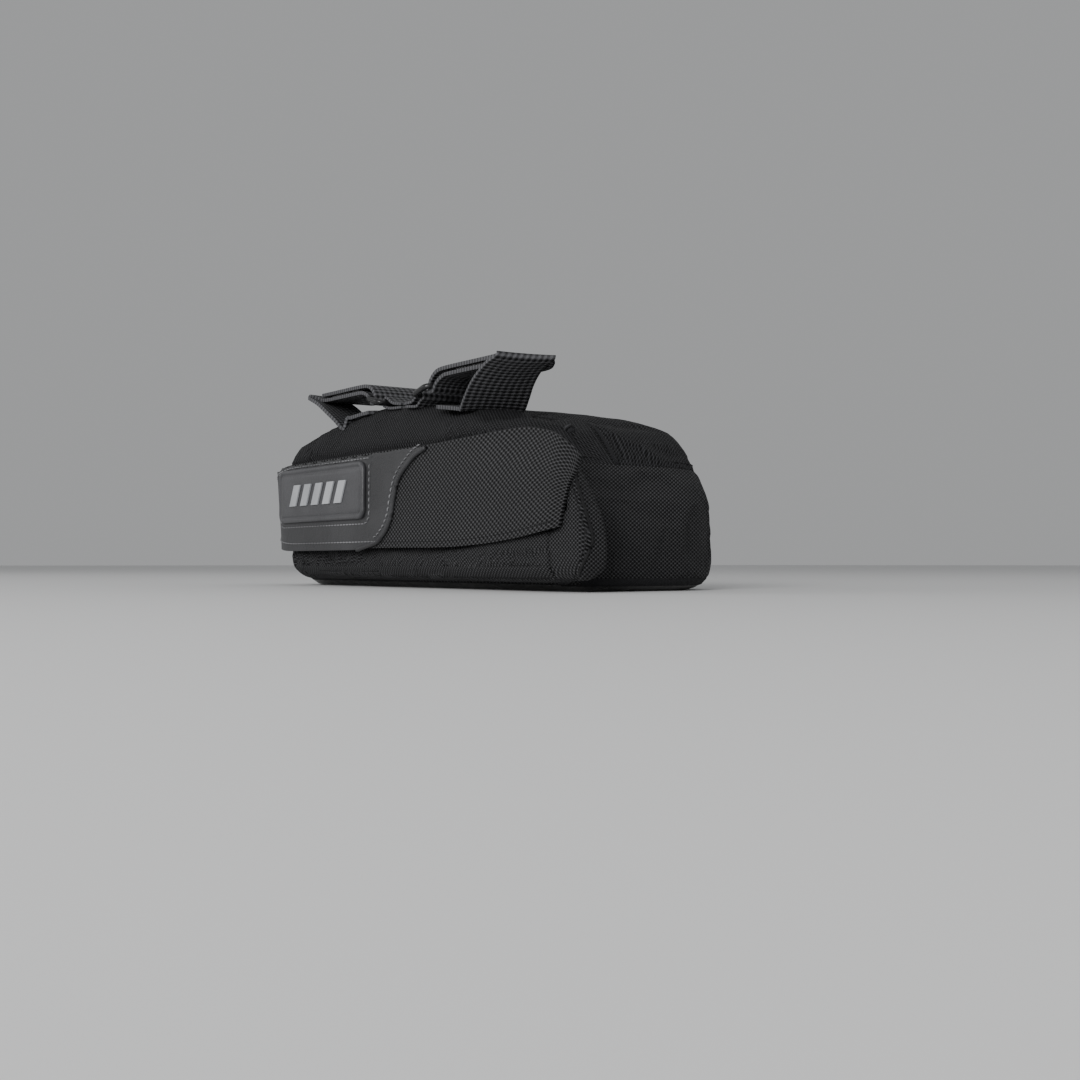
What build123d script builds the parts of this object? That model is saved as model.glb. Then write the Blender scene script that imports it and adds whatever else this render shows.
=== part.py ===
"""Soft tail bag that hangs under a luggage rack: sewn panels, a zipped mouth, a closing wing, straps.

Frame: millimetres, +Z up, origin on the flat underside below the straps' middle plane.
-Y is the rear of the bag, with the mouth and the wing. +X is the right end, where the wing is sewn on.
The cloth form is the common volume of three outlines: plan, rear view and side view.
Sewn seams are butt joints, with the panels meeting face to face.
"""

import os

from build123d import *

# ---- cloth form -----------------------------------------------------------------------------------
WALL = 3.0  # outer cloth, foam and inner cloth together
RIGHT_X = 165.0  # rear pocket's right side, which carries the wing's seam
MAIN_X = 151.0  # both sides of the main pouch
GROOVE_Y = (-28.0, -18.0)  # where the right side steps in from the pocket to the main pouch
REAR_Y = -43.5  # lower roll and brow, the two rearmost parts of the rear face
RECESS_Y = -36.0  # rear face between the roll and the brow, under the wing
RECESS_Z = (21.0, 66.0)
ROLL_Z = 17.0  # top of the lower roll
BROW_Z = 73.0  # rear edge of the brow
FRONT_Y = 71.0
FRONT_R = 45.0  # front corners in plan
LEFT_R = 38.0  # left rear corner in plan
RIGHT_R = 6.0  # right rear corner in plan
GROOVE_R = 4.0  # both bends of the step in the right side
TOP_R = 30.0  # front top edge
CROWN_Z = 94.0
OVER_CROWN = 4.0  # the side view stands this far above the crown, so the rear view sets the top
CROWN_SIDE_Z = 66.0  # crown's height at RIGHT_X from the centre
POCKET_Z = 4.0  # the rear pocket's underside stands this far above the main underside
POCKET_RAMP_Y = (-24.0, -16.0)  # where the underside rises from the main pouch to the pocket
HEEL = (4.0, 3.0)  # bevel under the rear face, inwards and upwards
FRONT_BEVEL = 8.0  # under the front
BROW_CURVE = (4.0, 14.0)  # middle of the brow's curve, inwards and upwards from its rear edge
BROW_DEPTH = 17.0
UNDERSIDE_Z = 7.5  # seam between the underside and the walls
SPLIT_Z = 58.0  # the front wall and gussets end here
LID_Y = 2.0  # seam between the shoulder and the lid

# ---- mouth and zip --------------------------------------------------------------------------------
MOUTH_X = (-100.0, 136.0)  # cloth edges of the mouth flap
MOUTH_Z = (8.5, 41.0)  # its hinge fold and its upper cloth edge
MOUTH_R = 18.0
FOLD_GAP = 1.0  # slit under the flap's hinge fold
LINING_CLEAR = 1.0  # the lining stops this far outside the zip
ZIP_GAP = 9.0  # clear width between the cloth edges
TEETH_W = 2.0
TEETH_GAP = 1.0
TEETH_DEPTH = 2.6
TAPE_DEPTH = 1.0
SLIDER_L = 11.0
SLIDER_H = 6.4
SLIDER_R = 2.4
SLIDER_X = MOUTH_X[0] + MOUTH_R + SLIDER_L / 2 + 0.5  # closed position
PLATE_T = 1.3
PLATE_GAP = 0.4
PIN_R = 1.2
PIN_HEAD = (2.2, 0.6)  # radius, thickness
PIN_CLEAR = 0.1  # between the pin and the link's hole
LINK_CLEAR = 0.2  # on both sides of the link
LINK = (11.0, 5.0, 1.3)  # length, width, thickness
GRIP = (13.0, 6.5, 2.0)
GRIP_R = 2.5

# ---- wing -----------------------------------------------------------------------------------------
WING_Y = -43.0  # inner face
WING_ROOT_X = 159.7
WING_TURN = (-124.0, -8.0)  # centre of its bend round the left corner
WING_TURN_ANGLE = 50.0
WING_R = 4.0  # corners of its outline
BACKING = 1.0
WING_CLOTH = 2.0
LEATHER = 1.5
CORD_R = 1.1
BADGE_CENTRE = (-69.8, 51.6)
BADGE_SIZE = (104.4, 30.7)
BADGE = 2.5
BADGE_R = 5.0
BADGE_BEVEL = 0.8
BARS = 5
BAR = ((-7, -6), (1, -6), (7, 6), (-1, 6))  # one slanting bar's corners
BAR_PITCH = 14.0
MOTIF = 0.8
ANCHOR_X = 161.9
ANCHOR_Z = (30.0, 64.0)
ANCHOR_PROUD = 1.5  # behind the wing's inner face
PATCH_Z = (30.0, 60.0)
PATCH_LIMIT = (-132.0, -29.0)  # right and front limits of the closing patches
LOOP_T = 2.2
LOOP_GAP = 0.1  # between the two closing patches

# ---- mounting straps ------------------------------------------------------------------------------
WEBBING_W = 32.0
WEBBING_T = 2.0
STRAP_Y = -37.0  # rear edge
LOOP_Z = 106.5
LOOP_X = 110.0  # outer fold
RING_R = 1.5
RING_SLACK = 0.1
RING_SPARE = 5.0  # the ring's width beyond the webbing's
RING_CORNER = 3.0
RING_UPPER = (31.0, 102.0)  # x and z of the ring's two long bars
RING_LOWER = (18.4, 98.6)
PATCH_T = 0.7
PATCH_INSET = 2.0  # from both edges of the webbing
LOOP_PATCH_X = (48.0, 90.0)
HOOK_PATCH_X = (50.0, 84.0)

BIG = 400.0

os.makedirs("parts", exist_ok=True)


def finish(name, part):
    """Labels one finished sub-part and writes its file."""
    part.label = name
    export_step(part, f"parts/{name}.step")


def rear_plane(y):
    """The plane at this y with local x along X and local y along Z. Its normal points to -Y."""
    return Plane.XZ.offset(-y)


def box_between(x, y, z):
    """A plain block between two limits on each axis, for dividing the form into panels."""
    with BuildPart() as block:
        with Locations((sum(x) / 2, sum(y) / 2, sum(z) / 2)):
            Box(x[1] - x[0], y[1] - y[0], z[1] - z[0])
    return block.part


# ---- the cloth form -------------------------------------------------------------------------------
def plan_outline(grow=0.0):
    """Seen from above: a step in the right side, a round left rear corner and big front corners."""
    with BuildSketch(Plane.XY) as plan:
        with BuildLine():
            FilletPolyline(
                (RIGHT_X, REAR_Y),
                (RIGHT_X, GROOVE_Y[0]),
                (MAIN_X, GROOVE_Y[1]),
                (MAIN_X, FRONT_Y),
                (-MAIN_X, FRONT_Y),
                (-MAIN_X, REAR_Y),
                radius=[RIGHT_R, GROOVE_R, GROOVE_R, FRONT_R, FRONT_R, LEFT_R],
                close=True,
            )
        make_face()
        if grow:
            offset(amount=grow, kind=Kind.INTERSECTION)
    return plan.sketch


def rear_view(inset=0.0):
    """Seen from the rear: a flat bottom under a crowned top."""
    with BuildSketch(rear_plane(-BIG / 2)) as view:
        with BuildLine():
            Polyline((-RIGHT_X, CROWN_SIDE_Z), (-RIGHT_X, 0), (RIGHT_X, 0), (RIGHT_X, CROWN_SIDE_Z))
            ThreePointArc((-RIGHT_X, CROWN_SIDE_Z), (0, CROWN_Z), (RIGHT_X, CROWN_SIDE_Z))
        make_face()
        if inset:
            offset(amount=-inset, kind=Kind.INTERSECTION)
    return view.sketch


def side_view(inset=0.0):
    """Seen from the right: raised pocket floor, lower roll, recess for the wing, brow and round front top."""
    over = CROWN_Z + OVER_CROWN
    brow_middle = (REAR_Y + BROW_CURVE[0], BROW_Z + BROW_CURVE[1])
    corner = TOP_R * 0.5**0.5
    with BuildSketch(Plane.YZ.offset(-BIG / 2)) as view:
        with BuildLine():
            Polyline(
                (FRONT_Y, over - TOP_R),
                (FRONT_Y, FRONT_BEVEL),
                (FRONT_Y - FRONT_BEVEL, 0),
                (POCKET_RAMP_Y[1], 0),
                (POCKET_RAMP_Y[0], POCKET_Z),
                (REAR_Y + HEEL[0], POCKET_Z),
                (REAR_Y, POCKET_Z + HEEL[1]),
                (REAR_Y, ROLL_Z),
                (RECESS_Y, RECESS_Z[0]),
                (RECESS_Y, RECESS_Z[1]),
                (REAR_Y, BROW_Z),
            )
            ThreePointArc((REAR_Y, BROW_Z), brow_middle, (REAR_Y + BROW_DEPTH, over))
            Line((REAR_Y + BROW_DEPTH, over), (FRONT_Y - TOP_R, over))
            ThreePointArc(
                (FRONT_Y - TOP_R, over),
                (FRONT_Y - TOP_R + corner, over - TOP_R + corner),
                (FRONT_Y, over - TOP_R),
            )
        make_face()
        if inset:
            offset(amount=-inset, kind=Kind.INTERSECTION)
    return view.sketch


def cloth_form(inset=0.0):
    """The closed form of the bag, made smaller all round by inset."""
    with BuildPart() as form:
        add(plan_outline(-inset))
        extrude(amount=BIG, dir=(0, 0, 1))
        add(rear_view(inset))
        extrude(amount=BIG, dir=(0, 1, 0), mode=Mode.INTERSECT)
        add(side_view(inset))
        extrude(amount=BIG, dir=(1, 0, 0), mode=Mode.INTERSECT)
    return form.part


def cloth_layer(outer, inner):
    """The skin between two insets of the form."""
    with BuildPart() as layer:
        add(cloth_form(outer))
        add(cloth_form(inner), mode=Mode.SUBTRACT)
    return layer.part


OUTER = cloth_form()
SHELL = cloth_layer(0, WALL)
LEFT_SEAM_X = -MAIN_X + LEFT_R
RIGHT_SEAM_X = RIGHT_X - RIGHT_R
FRONT_SEAM_X = MAIN_X - FRONT_R
INSIDE_REAR_Y = RECESS_Y + WALL + 3  # just inside the rear wall
UNDERSIDE = box_between((-BIG, BIG), (-BIG, BIG), (-1, UNDERSIDE_Z))
LID_SPACE = box_between((-BIG, BIG), (-BIG, BIG), (SPLIT_Z, BIG))
FRONT_SPACE = box_between((-FRONT_SEAM_X, FRONT_SEAM_X), (0, BIG), (-1, BIG))
REAR_SPACE = box_between((LEFT_SEAM_X, RIGHT_SEAM_X), (-BIG, INSIDE_REAR_Y), (-1, BIG))


# ---- mouth and zip --------------------------------------------------------------------------------
def mouth_outline(grow=0.0):
    """The mouth flap's outline in the rear view, grown on all sides but its hinge fold."""
    low, high = MOUTH_Z[0], MOUTH_Z[1] + grow
    width = MOUTH_X[1] - MOUTH_X[0] + 2 * grow
    with BuildSketch(rear_plane(REAR_Y - 1)) as outline:
        with Locations((sum(MOUTH_X) / 2, (low + high) / 2)):
            Rectangle(width, high - low)
        fillet(outline.vertices().group_by(Axis.Y)[-1], MOUTH_R + grow)
    return outline.sketch


def mouth_reach(grow=0.0):
    """The space the mouth outline sweeps through the rear face."""
    with BuildPart() as reach:
        add(mouth_outline(grow))
        extrude(amount=INSIDE_REAR_Y - REAR_Y, dir=(0, 1, 0))
    return reach.part


def zip_band(inner, outer, depth):
    """A U-shaped band round the flap between two growths of its outline, in the middle of the wall."""
    with BuildPart() as band:
        add(cloth_layer((WALL - depth) / 2, (WALL + depth) / 2))
        add(mouth_reach(outer), mode=Mode.INTERSECT)
        add(mouth_reach(inner), mode=Mode.SUBTRACT)
    return band.part


TEETH_START = (ZIP_GAP - TEETH_GAP) / 2 - TEETH_W
TEETH_MIDDLE = (ZIP_GAP - TEETH_GAP) / 2

with BuildPart() as mouth_flap:
    add(SHELL)
    add(mouth_reach(), mode=Mode.INTERSECT)

finish("mouth_flap", mouth_flap.part)
finish("zip_tape_lower", zip_band(0, TEETH_START, TAPE_DEPTH))
finish("zip_coil_lower", zip_band(TEETH_START, TEETH_MIDDLE, TEETH_DEPTH))
finish("zip_coil_upper", zip_band(ZIP_GAP - TEETH_MIDDLE, ZIP_GAP - TEETH_START, TEETH_DEPTH))
finish("zip_tape_upper", zip_band(ZIP_GAP - TEETH_START, ZIP_GAP, TAPE_DEPTH))

ZIP_Z = MOUTH_Z[1] + ZIP_GAP / 2
OUTER_PLATE_Y = RECESS_Y - PLATE_GAP
INNER_PLATE_Y = RECESS_Y + WALL
LINK_Y = OUTER_PLATE_Y - PLATE_T - LINK_CLEAR
PIN_L = LINK[2] + 2 * LINK_CLEAR

with BuildPart() as zip_slider:
    with BuildSketch(rear_plane(OUTER_PLATE_Y)):
        with Locations((SLIDER_X, ZIP_Z)):
            RectangleRounded(SLIDER_L, SLIDER_H, SLIDER_R)
    extrude(amount=PLATE_T)
    with BuildSketch(rear_plane(INNER_PLATE_Y)):
        with Locations((SLIDER_X, ZIP_Z)):
            RectangleRounded(SLIDER_L, SLIDER_H, SLIDER_R)
    extrude(amount=-PLATE_T)
    with BuildSketch(rear_plane(OUTER_PLATE_Y)):
        with Locations((SLIDER_X, ZIP_Z)):
            SlotOverall(SLIDER_L / 2, TEETH_GAP * 0.7)
    extrude(amount=-(INNER_PLATE_Y - OUTER_PLATE_Y))
    with BuildSketch(rear_plane(OUTER_PLATE_Y - PLATE_T)):
        with Locations((SLIDER_X, ZIP_Z)):
            Circle(PIN_R)
    extrude(amount=PIN_L)
    with BuildSketch(rear_plane(OUTER_PLATE_Y - PLATE_T - PIN_L)):
        with Locations((SLIDER_X, ZIP_Z)):
            Circle(PIN_HEAD[0])
    extrude(amount=PIN_HEAD[1])

# The puller lies back along the zip, pointing left from its pin.
with BuildPart() as puller_link:
    with BuildSketch(rear_plane(LINK_Y)):
        with Locations((SLIDER_X - (LINK[0] - LINK[1]) / 2, ZIP_Z)):
            SlotOverall(LINK[0], LINK[1])
        with Locations((SLIDER_X, ZIP_Z)):
            Circle(PIN_R + PIN_CLEAR, mode=Mode.SUBTRACT)
    extrude(amount=LINK[2])

with BuildPart() as puller_grip:
    with BuildSketch(rear_plane(LINK_Y + (GRIP[2] - LINK[2]) / 2)):
        with Locations((SLIDER_X - LINK[0] + LINK[1] / 2 - GRIP[0] / 2, ZIP_Z)):
            RectangleRounded(GRIP[0], GRIP[1], GRIP_R)
    extrude(amount=GRIP[2])
    add(puller_link.part, mode=Mode.SUBTRACT)

finish("zip_slider", zip_slider.part)
finish("puller_link", puller_link.part)
finish("puller_grip", puller_grip.part)

# ---- sewn panels ----------------------------------------------------------------------------------
with BuildPart() as bottom_panel:
    add(SHELL)
    add(UNDERSIDE, mode=Mode.INTERSECT)

with BuildPart() as walls:
    add(SHELL)
    add(UNDERSIDE, mode=Mode.SUBTRACT)
    add(LID_SPACE, mode=Mode.SUBTRACT)

with BuildPart() as rear_wall:
    add(walls.part)
    add(REAR_SPACE, mode=Mode.INTERSECT)
    add(mouth_reach(ZIP_GAP), mode=Mode.SUBTRACT)
    add(
        box_between(
            (MOUTH_X[0] - ZIP_GAP, MOUTH_X[1] + ZIP_GAP),
            (REAR_Y - 1, INSIDE_REAR_Y),
            (MOUTH_Z[0] - FOLD_GAP, MOUTH_Z[0]),
        ),
        mode=Mode.SUBTRACT,
    )

with BuildPart() as front_wall:
    add(walls.part)
    add(FRONT_SPACE, mode=Mode.INTERSECT)


def gusset(side):
    """One side wall with its corners, from the rear seam to the front seam. side is 1 for the right."""
    with BuildPart() as panel:
        add(walls.part)
        add(FRONT_SPACE, mode=Mode.SUBTRACT)
        add(REAR_SPACE, mode=Mode.SUBTRACT)
        add(box_between(sorted((0, side * BIG)), (-BIG, BIG), (-1, BIG)), mode=Mode.INTERSECT)
    return panel.part


with BuildPart() as shoulder_panel:
    add(SHELL)
    add(LID_SPACE, mode=Mode.INTERSECT)
    add(box_between((-BIG, BIG), (-BIG, LID_Y), (-1, BIG)), mode=Mode.INTERSECT)

with BuildPart() as lid_panel:
    add(SHELL)
    add(LID_SPACE, mode=Mode.INTERSECT)
    add(box_between((-BIG, BIG), (LID_Y, BIG), (-1, BIG)), mode=Mode.INTERSECT)

PIPING_R = 1.2
PIPING_X = 128.0
PIPING_LIFT = 0.05  # just clear of the crown
with BuildPart() as lid_piping:
    with BuildLine() as crest:
        rise = CROWN_Z - CROWN_SIDE_Z
        crown_radius = (RIGHT_X**2 + rise**2) / (2 * rise)
        drop = crown_radius - (crown_radius**2 - PIPING_X**2) ** 0.5
        clear = PIPING_R + PIPING_LIFT
        ThreePointArc(
            (-PIPING_X, LID_Y, CROWN_Z - drop + clear),
            (0, LID_Y, CROWN_Z + clear),
            (PIPING_X, LID_Y, CROWN_Z - drop + clear),
        )
    with BuildSketch(crest.line ^ 0):
        Circle(PIPING_R)
    sweep()

BINDING_T = 0.8
BINDING_H = 3.0
with BuildPart() as bottom_binding:
    with BuildSketch(Plane.XY.offset(MOUTH_Z[0])):
        add(plan_outline(BINDING_T))
        add(plan_outline(), mode=Mode.SUBTRACT)
        with Locations((0, GROOVE_Y[0] - BIG / 2)):
            Rectangle(2 * BIG, BIG, mode=Mode.SUBTRACT)
    extrude(amount=BINDING_H)

LINING_GAP = 0.1
LINING_T = 0.8
with BuildPart() as lining:
    add(cloth_layer(WALL + LINING_GAP, WALL + LINING_GAP + LINING_T))
    add(LID_SPACE, mode=Mode.SUBTRACT)
    add(mouth_reach(ZIP_GAP + LINING_CLEAR), mode=Mode.SUBTRACT)

BOARD_T = 2.0
BOARD_INSET = 15.0  # from the outside of the cloth
BOARD_REAR_Y = -12.0
with BuildPart() as base_board:
    with BuildSketch(Plane.XY.offset(WALL + LINING_T + 2 * LINING_GAP)):
        add(plan_outline(-BOARD_INSET))
        with Locations((0, BOARD_REAR_Y - BIG / 2)):
            Rectangle(2 * BIG, BIG, mode=Mode.SUBTRACT)
    extrude(amount=BOARD_T)

finish("bottom_panel", bottom_panel.part)
finish("rear_wall", rear_wall.part)
finish("front_wall", front_wall.part)
finish("right_gusset", gusset(1))
finish("left_gusset", gusset(-1))
finish("shoulder_panel", shoulder_panel.part)
finish("lid_panel", lid_panel.part)
finish("lid_piping", lid_piping.part)
finish("bottom_binding", bottom_binding.part)
finish("lining", lining.part)
finish("base_board", base_board.part)


# ---- closing wing ---------------------------------------------------------------------------------
def wing_outline():
    """The wing's edges in the rear view: lower at the left, tapering up to its sewn root."""
    with BuildSketch(rear_plane(-BIG / 2)) as outline:
        with BuildLine():
            FilletPolyline(
                (165, 30),
                (124, 25),
                (68, 21),
                (-190, 21),
                (-190, 71),
                (165, 68),
                radius=WING_R,
                close=True,
            )
        make_face()
    return outline.sketch


def leather_outline():
    """The leather end's outline, with its curved inner edge rising towards the right."""
    with BuildSketch(rear_plane(-BIG / 2)) as outline:
        with BuildLine():
            Spline((-34, 20), (-1, 27.6), (11, 46), (25, 63), (45, 70))
            Polyline((45, 70), (-190, 70), (-190, 20), (-34, 20))
        make_face()
    return outline.sketch


def wing_layer(inner, outer, outline):
    """A layer between two distances from the wing's inner face, bent round the left corner."""
    middle = (inner + outer) / 2
    radius = WING_TURN[1] - WING_Y + middle
    with BuildPart() as layer:
        with BuildSketch(Plane.XY):
            with BuildLine() as path:
                Line((WING_ROOT_X, WING_Y - middle), (WING_TURN[0], WING_Y - middle))
                CenterArc(WING_TURN, radius, 270, -WING_TURN_ANGLE)
            trace(path.line, outer - inner)
        extrude(amount=BIG, dir=(0, 0, 1))
        add(outline)
        extrude(amount=BIG, dir=(0, 1, 0), mode=Mode.INTERSECT)
    return layer.part


CLOTH_OUT = BACKING + WING_CLOTH
LEATHER_OUT = CLOTH_OUT + LEATHER
BADGE_OUT = LEATHER_OUT + BADGE

with BuildPart() as leather_edge_cord:
    with BuildLine() as edge:
        cord_y = WING_Y - CLOTH_OUT - CORD_R
        Spline(
            (-14, cord_y, 23.5),
            (3, cord_y, 30),
            (13.5, cord_y, 46),
            (24, cord_y, 60),
            (32, cord_y, 66.5),
        )
    with BuildSketch(edge.line ^ 0):
        Circle(CORD_R)
    sweep()

with BuildPart() as leather_end:
    add(wing_layer(CLOTH_OUT, LEATHER_OUT, leather_outline()))
    add(leather_edge_cord.part, mode=Mode.SUBTRACT)

with BuildPart() as badge_plate:
    with BuildSketch(rear_plane(WING_Y - LEATHER_OUT)):
        with Locations(BADGE_CENTRE):
            RectangleRounded(*BADGE_SIZE, BADGE_R)
    extrude(amount=BADGE)
    chamfer(badge_plate.faces().sort_by(Axis.Y)[0].edges(), BADGE_BEVEL)

# Generic raised mark: a row of slanting bars, each its own small solid.
with BuildPart() as badge_motif:
    with BuildSketch(rear_plane(WING_Y - BADGE_OUT)):
        with Locations(BADGE_CENTRE):
            with GridLocations(BAR_PITCH, 0, BARS, 1):
                Polygon(*BAR, align=None)
    extrude(amount=MOTIF)

# The wing's root is folded into this upright strip at the right rear corner.
with BuildPart() as wing_anchor:
    add(box_between((ANCHOR_X, RIGHT_X), (WING_Y - ANCHOR_PROUD, RECESS_Y), ANCHOR_Z))

# The space beside the bag's left rear corner where the wing closes on the body.
CLOSURE = box_between((-BIG, PATCH_LIMIT[0]), (RECESS_Y, PATCH_LIMIT[1]), PATCH_Z)

with BuildPart() as body_loop_patch:
    with BuildSketch(Plane.XY.offset(PATCH_Z[0])):
        add(plan_outline(LOOP_T))
        add(plan_outline(), mode=Mode.SUBTRACT)
    extrude(amount=PATCH_Z[1] - PATCH_Z[0])
    add(CLOSURE, mode=Mode.INTERSECT)

with BuildPart() as wing_hook_patch:
    with BuildSketch(Plane.XY.offset(PATCH_Z[0])):
        with Locations(WING_TURN):
            Circle(WING_TURN[1] - WING_Y)
        add(plan_outline(LOOP_T + LOOP_GAP), mode=Mode.SUBTRACT)
    extrude(amount=PATCH_Z[1] - PATCH_Z[0])
    add(CLOSURE, mode=Mode.INTERSECT)

finish("wing_backing", wing_layer(0, BACKING, wing_outline()))
finish("wing_panel", wing_layer(BACKING, CLOTH_OUT, wing_outline()))
finish("leather_end", leather_end.part)
finish("leather_edge_cord", leather_edge_cord.part)
finish("badge_plate", badge_plate.part)
finish("badge_motif", badge_motif.part)
finish("wing_anchor", wing_anchor.part)
finish("body_loop_patch", body_loop_patch.part)
finish("wing_hook_patch", wing_hook_patch.part)


# ---- mounting straps ------------------------------------------------------------------------------
WRAP_R = RING_R + WEBBING_T / 2 + RING_SLACK
TAIL_Z = LOOP_Z + WEBBING_T + 2 * PATCH_T
STRAP_ROUTE = [
    (36, 93.2),
    (66, 90.2),
    (LOOP_X, LOOP_Z),
    (42, LOOP_Z),
    (RING_UPPER[0] + WRAP_R, RING_UPPER[1]),
    (RING_UPPER[0] + WRAP_R, RING_UPPER[1] - WRAP_R),
    (RING_UPPER[0] - WRAP_R, RING_UPPER[1] - WRAP_R),
    (RING_UPPER[0] - WRAP_R, RING_UPPER[1] + 2),
    (36.5, TAIL_Z),
    (92, TAIL_Z),
]
TAB_T = 1.6
TAB_INSET = 1.0  # narrower than the strap on both sides
TAB_WRAP_R = RING_R + TAB_T / 2 + RING_SLACK
TAB_ROUTE = [
    (2.5, 94.7),
    (RING_LOWER[0] + TAB_WRAP_R, 94.7),
    (RING_LOWER[0] + TAB_WRAP_R, RING_LOWER[1] + TAB_WRAP_R),
    (RING_LOWER[0] - TAB_WRAP_R - 2, RING_LOWER[1] + TAB_WRAP_R),
    (8.0, 96.8),
    (2.5, 96.8),
]


def webbing(route, radii, width, thickness, y):
    """A strip of webbing along a bent line seen from the rear, clear of the cloth form below it."""
    with BuildPart() as strip:
        with BuildSketch(rear_plane(y)):
            with BuildLine() as path:
                FilletPolyline(*route, radius=radii)
            trace(path.line, thickness)
        extrude(amount=width, dir=(0, 1, 0))
        add(OUTER, mode=Mode.SUBTRACT)
    return strip.part


def ring():
    """A closed rectangular wire loop joining the strap to its tab."""
    across = Vector(RING_UPPER[0] - RING_LOWER[0], 0, RING_UPPER[1] - RING_LOWER[1])
    plane = Plane(
        origin=(
            (RING_UPPER[0] + RING_LOWER[0]) / 2,
            STRAP_Y + WEBBING_W / 2,
            (RING_UPPER[1] + RING_LOWER[1]) / 2,
        ),
        x_dir=(0, 1, 0),
        z_dir=Vector(0, 1, 0).cross(across),
    )
    with BuildSketch(plane) as outline:
        RectangleRounded(WEBBING_W + RING_SPARE, across.length, RING_CORNER)
    wire = outline.sketch.wire()
    with BuildPart() as loop:
        with BuildSketch(Plane(origin=wire @ 0.1, z_dir=wire % 0.1)):
            Circle(RING_R)
        sweep(path=wire)
    return loop.part


def strap_patch(x, layer):
    """One of the two hook-and-loop patches between the loop and its tail, layer 0 or 1."""
    bottom = LOOP_Z + WEBBING_T / 2 + layer * PATCH_T
    y = (STRAP_Y + PATCH_INSET, STRAP_Y + WEBBING_W - PATCH_INSET)
    return box_between(x, y, (bottom, bottom + PATCH_T))


right_strap = {
    "strap": webbing(STRAP_ROUTE, [3.0, 2.0, 3.0, 1.0, 2.0, 2.0, 1.0, 3.0], WEBBING_W, WEBBING_T, STRAP_Y),
    "ring_tab": webbing(
        TAB_ROUTE, [2.0, 2.0, 2.0, 3.0], WEBBING_W - 2 * TAB_INSET, TAB_T, STRAP_Y + TAB_INSET
    ),
    "strap_ring": ring(),
    "strap_loop_patch": strap_patch(LOOP_PATCH_X, 0),
    "strap_hook_patch": strap_patch(HOOK_PATCH_X, 1),
}
for name, part in right_strap.items():
    finish(f"{name}_right", part)
    finish(f"{name}_left", mirror(part, about=Plane.YZ))
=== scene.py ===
import math

import bmesh
import bpy
import numpy as np
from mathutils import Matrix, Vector, noise


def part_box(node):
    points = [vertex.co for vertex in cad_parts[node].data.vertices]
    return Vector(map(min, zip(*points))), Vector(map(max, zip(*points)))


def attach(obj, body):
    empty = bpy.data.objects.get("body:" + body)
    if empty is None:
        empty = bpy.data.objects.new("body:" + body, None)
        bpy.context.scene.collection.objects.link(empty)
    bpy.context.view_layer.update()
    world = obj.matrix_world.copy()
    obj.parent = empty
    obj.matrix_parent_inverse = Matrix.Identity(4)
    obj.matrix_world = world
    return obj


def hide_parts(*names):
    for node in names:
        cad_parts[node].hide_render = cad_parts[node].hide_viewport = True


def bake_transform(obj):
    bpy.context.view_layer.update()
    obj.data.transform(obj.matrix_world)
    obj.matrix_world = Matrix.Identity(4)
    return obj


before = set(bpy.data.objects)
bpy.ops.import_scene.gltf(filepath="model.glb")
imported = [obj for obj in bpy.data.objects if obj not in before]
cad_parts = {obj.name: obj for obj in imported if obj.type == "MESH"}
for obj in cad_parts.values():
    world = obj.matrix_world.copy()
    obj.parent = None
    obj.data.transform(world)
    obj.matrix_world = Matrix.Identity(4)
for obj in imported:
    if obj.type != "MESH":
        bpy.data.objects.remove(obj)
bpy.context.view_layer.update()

# Metres. The bag's frame: -Y rear, +X right, +Z up, origin on the flat underside.
REAR_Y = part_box("bottom_panel")[0][1]
FRONT_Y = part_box("front_wall")[1][1]
RIGHT_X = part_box("bottom_panel")[1][0]
MAIN_X = -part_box("bottom_panel")[0][0]
WING_Y = -0.043
WALL = 0.003
LID_SEAM_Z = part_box("lid_panel")[0][2]
LID_SEAM_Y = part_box("lid_panel")[0][1]
BOTTOM_SEAM_Z = 0.0030
WING_TURN = (-0.124, -0.008)
WING_TURN_ANGLE = math.radians(50.0)
WING_ROOT_X = 0.1597
ZIP_GAP = 0.009
MOUTH_LOW, MOUTH_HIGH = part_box("mouth_flap")
MOUTH_R = 0.018


# ---- small helpers --------------------------------------------------------------------------------
def smooth_step(low, high, value):
    t = np.clip((value - low) / (high - low), 0.0, 1.0)
    return t * t * (3 - 2 * t)


def smooth_curve(value, knots):
    """Value of a smooth curve through the (position, height) knots."""
    xs = [k[0] for k in knots]
    ys = [k[1] for k in knots]
    value = np.clip(value, xs[0], xs[-1])
    index = np.clip(np.searchsorted(xs, value) - 1, 0, len(xs) - 2)
    xs, ys = np.array(xs), np.array(ys)
    slope = np.gradient(ys, xs)
    width = xs[index + 1] - xs[index]
    t = (value - xs[index]) / width
    return (
        (2 * t**3 - 3 * t**2 + 1) * ys[index]
        + (t**3 - 2 * t**2 + t) * width * slope[index]
        + (3 * t**2 - 2 * t**3) * ys[index + 1]
        + (t**3 - t**2) * width * slope[index + 1]
    )


def smooth_max(a, b, k):
    h = np.maximum(k - np.abs(a - b), 0.0) / k
    return np.maximum(a, b) + h * h * k * 0.25


def smooth_min(a, b, k):
    return -smooth_max(-a, -b, k)


def soft_noise(x, y, z, size, seed=0.0):
    """Smooth noise from -1 to 1 with features of about that size, the same in every run."""
    flat = np.stack([np.ravel(x), np.ravel(y), np.ravel(z)], axis=1) / size + seed
    values = np.array([noise.noise(Vector(p)) for p in flat])
    return values.reshape(np.shape(x))


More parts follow.
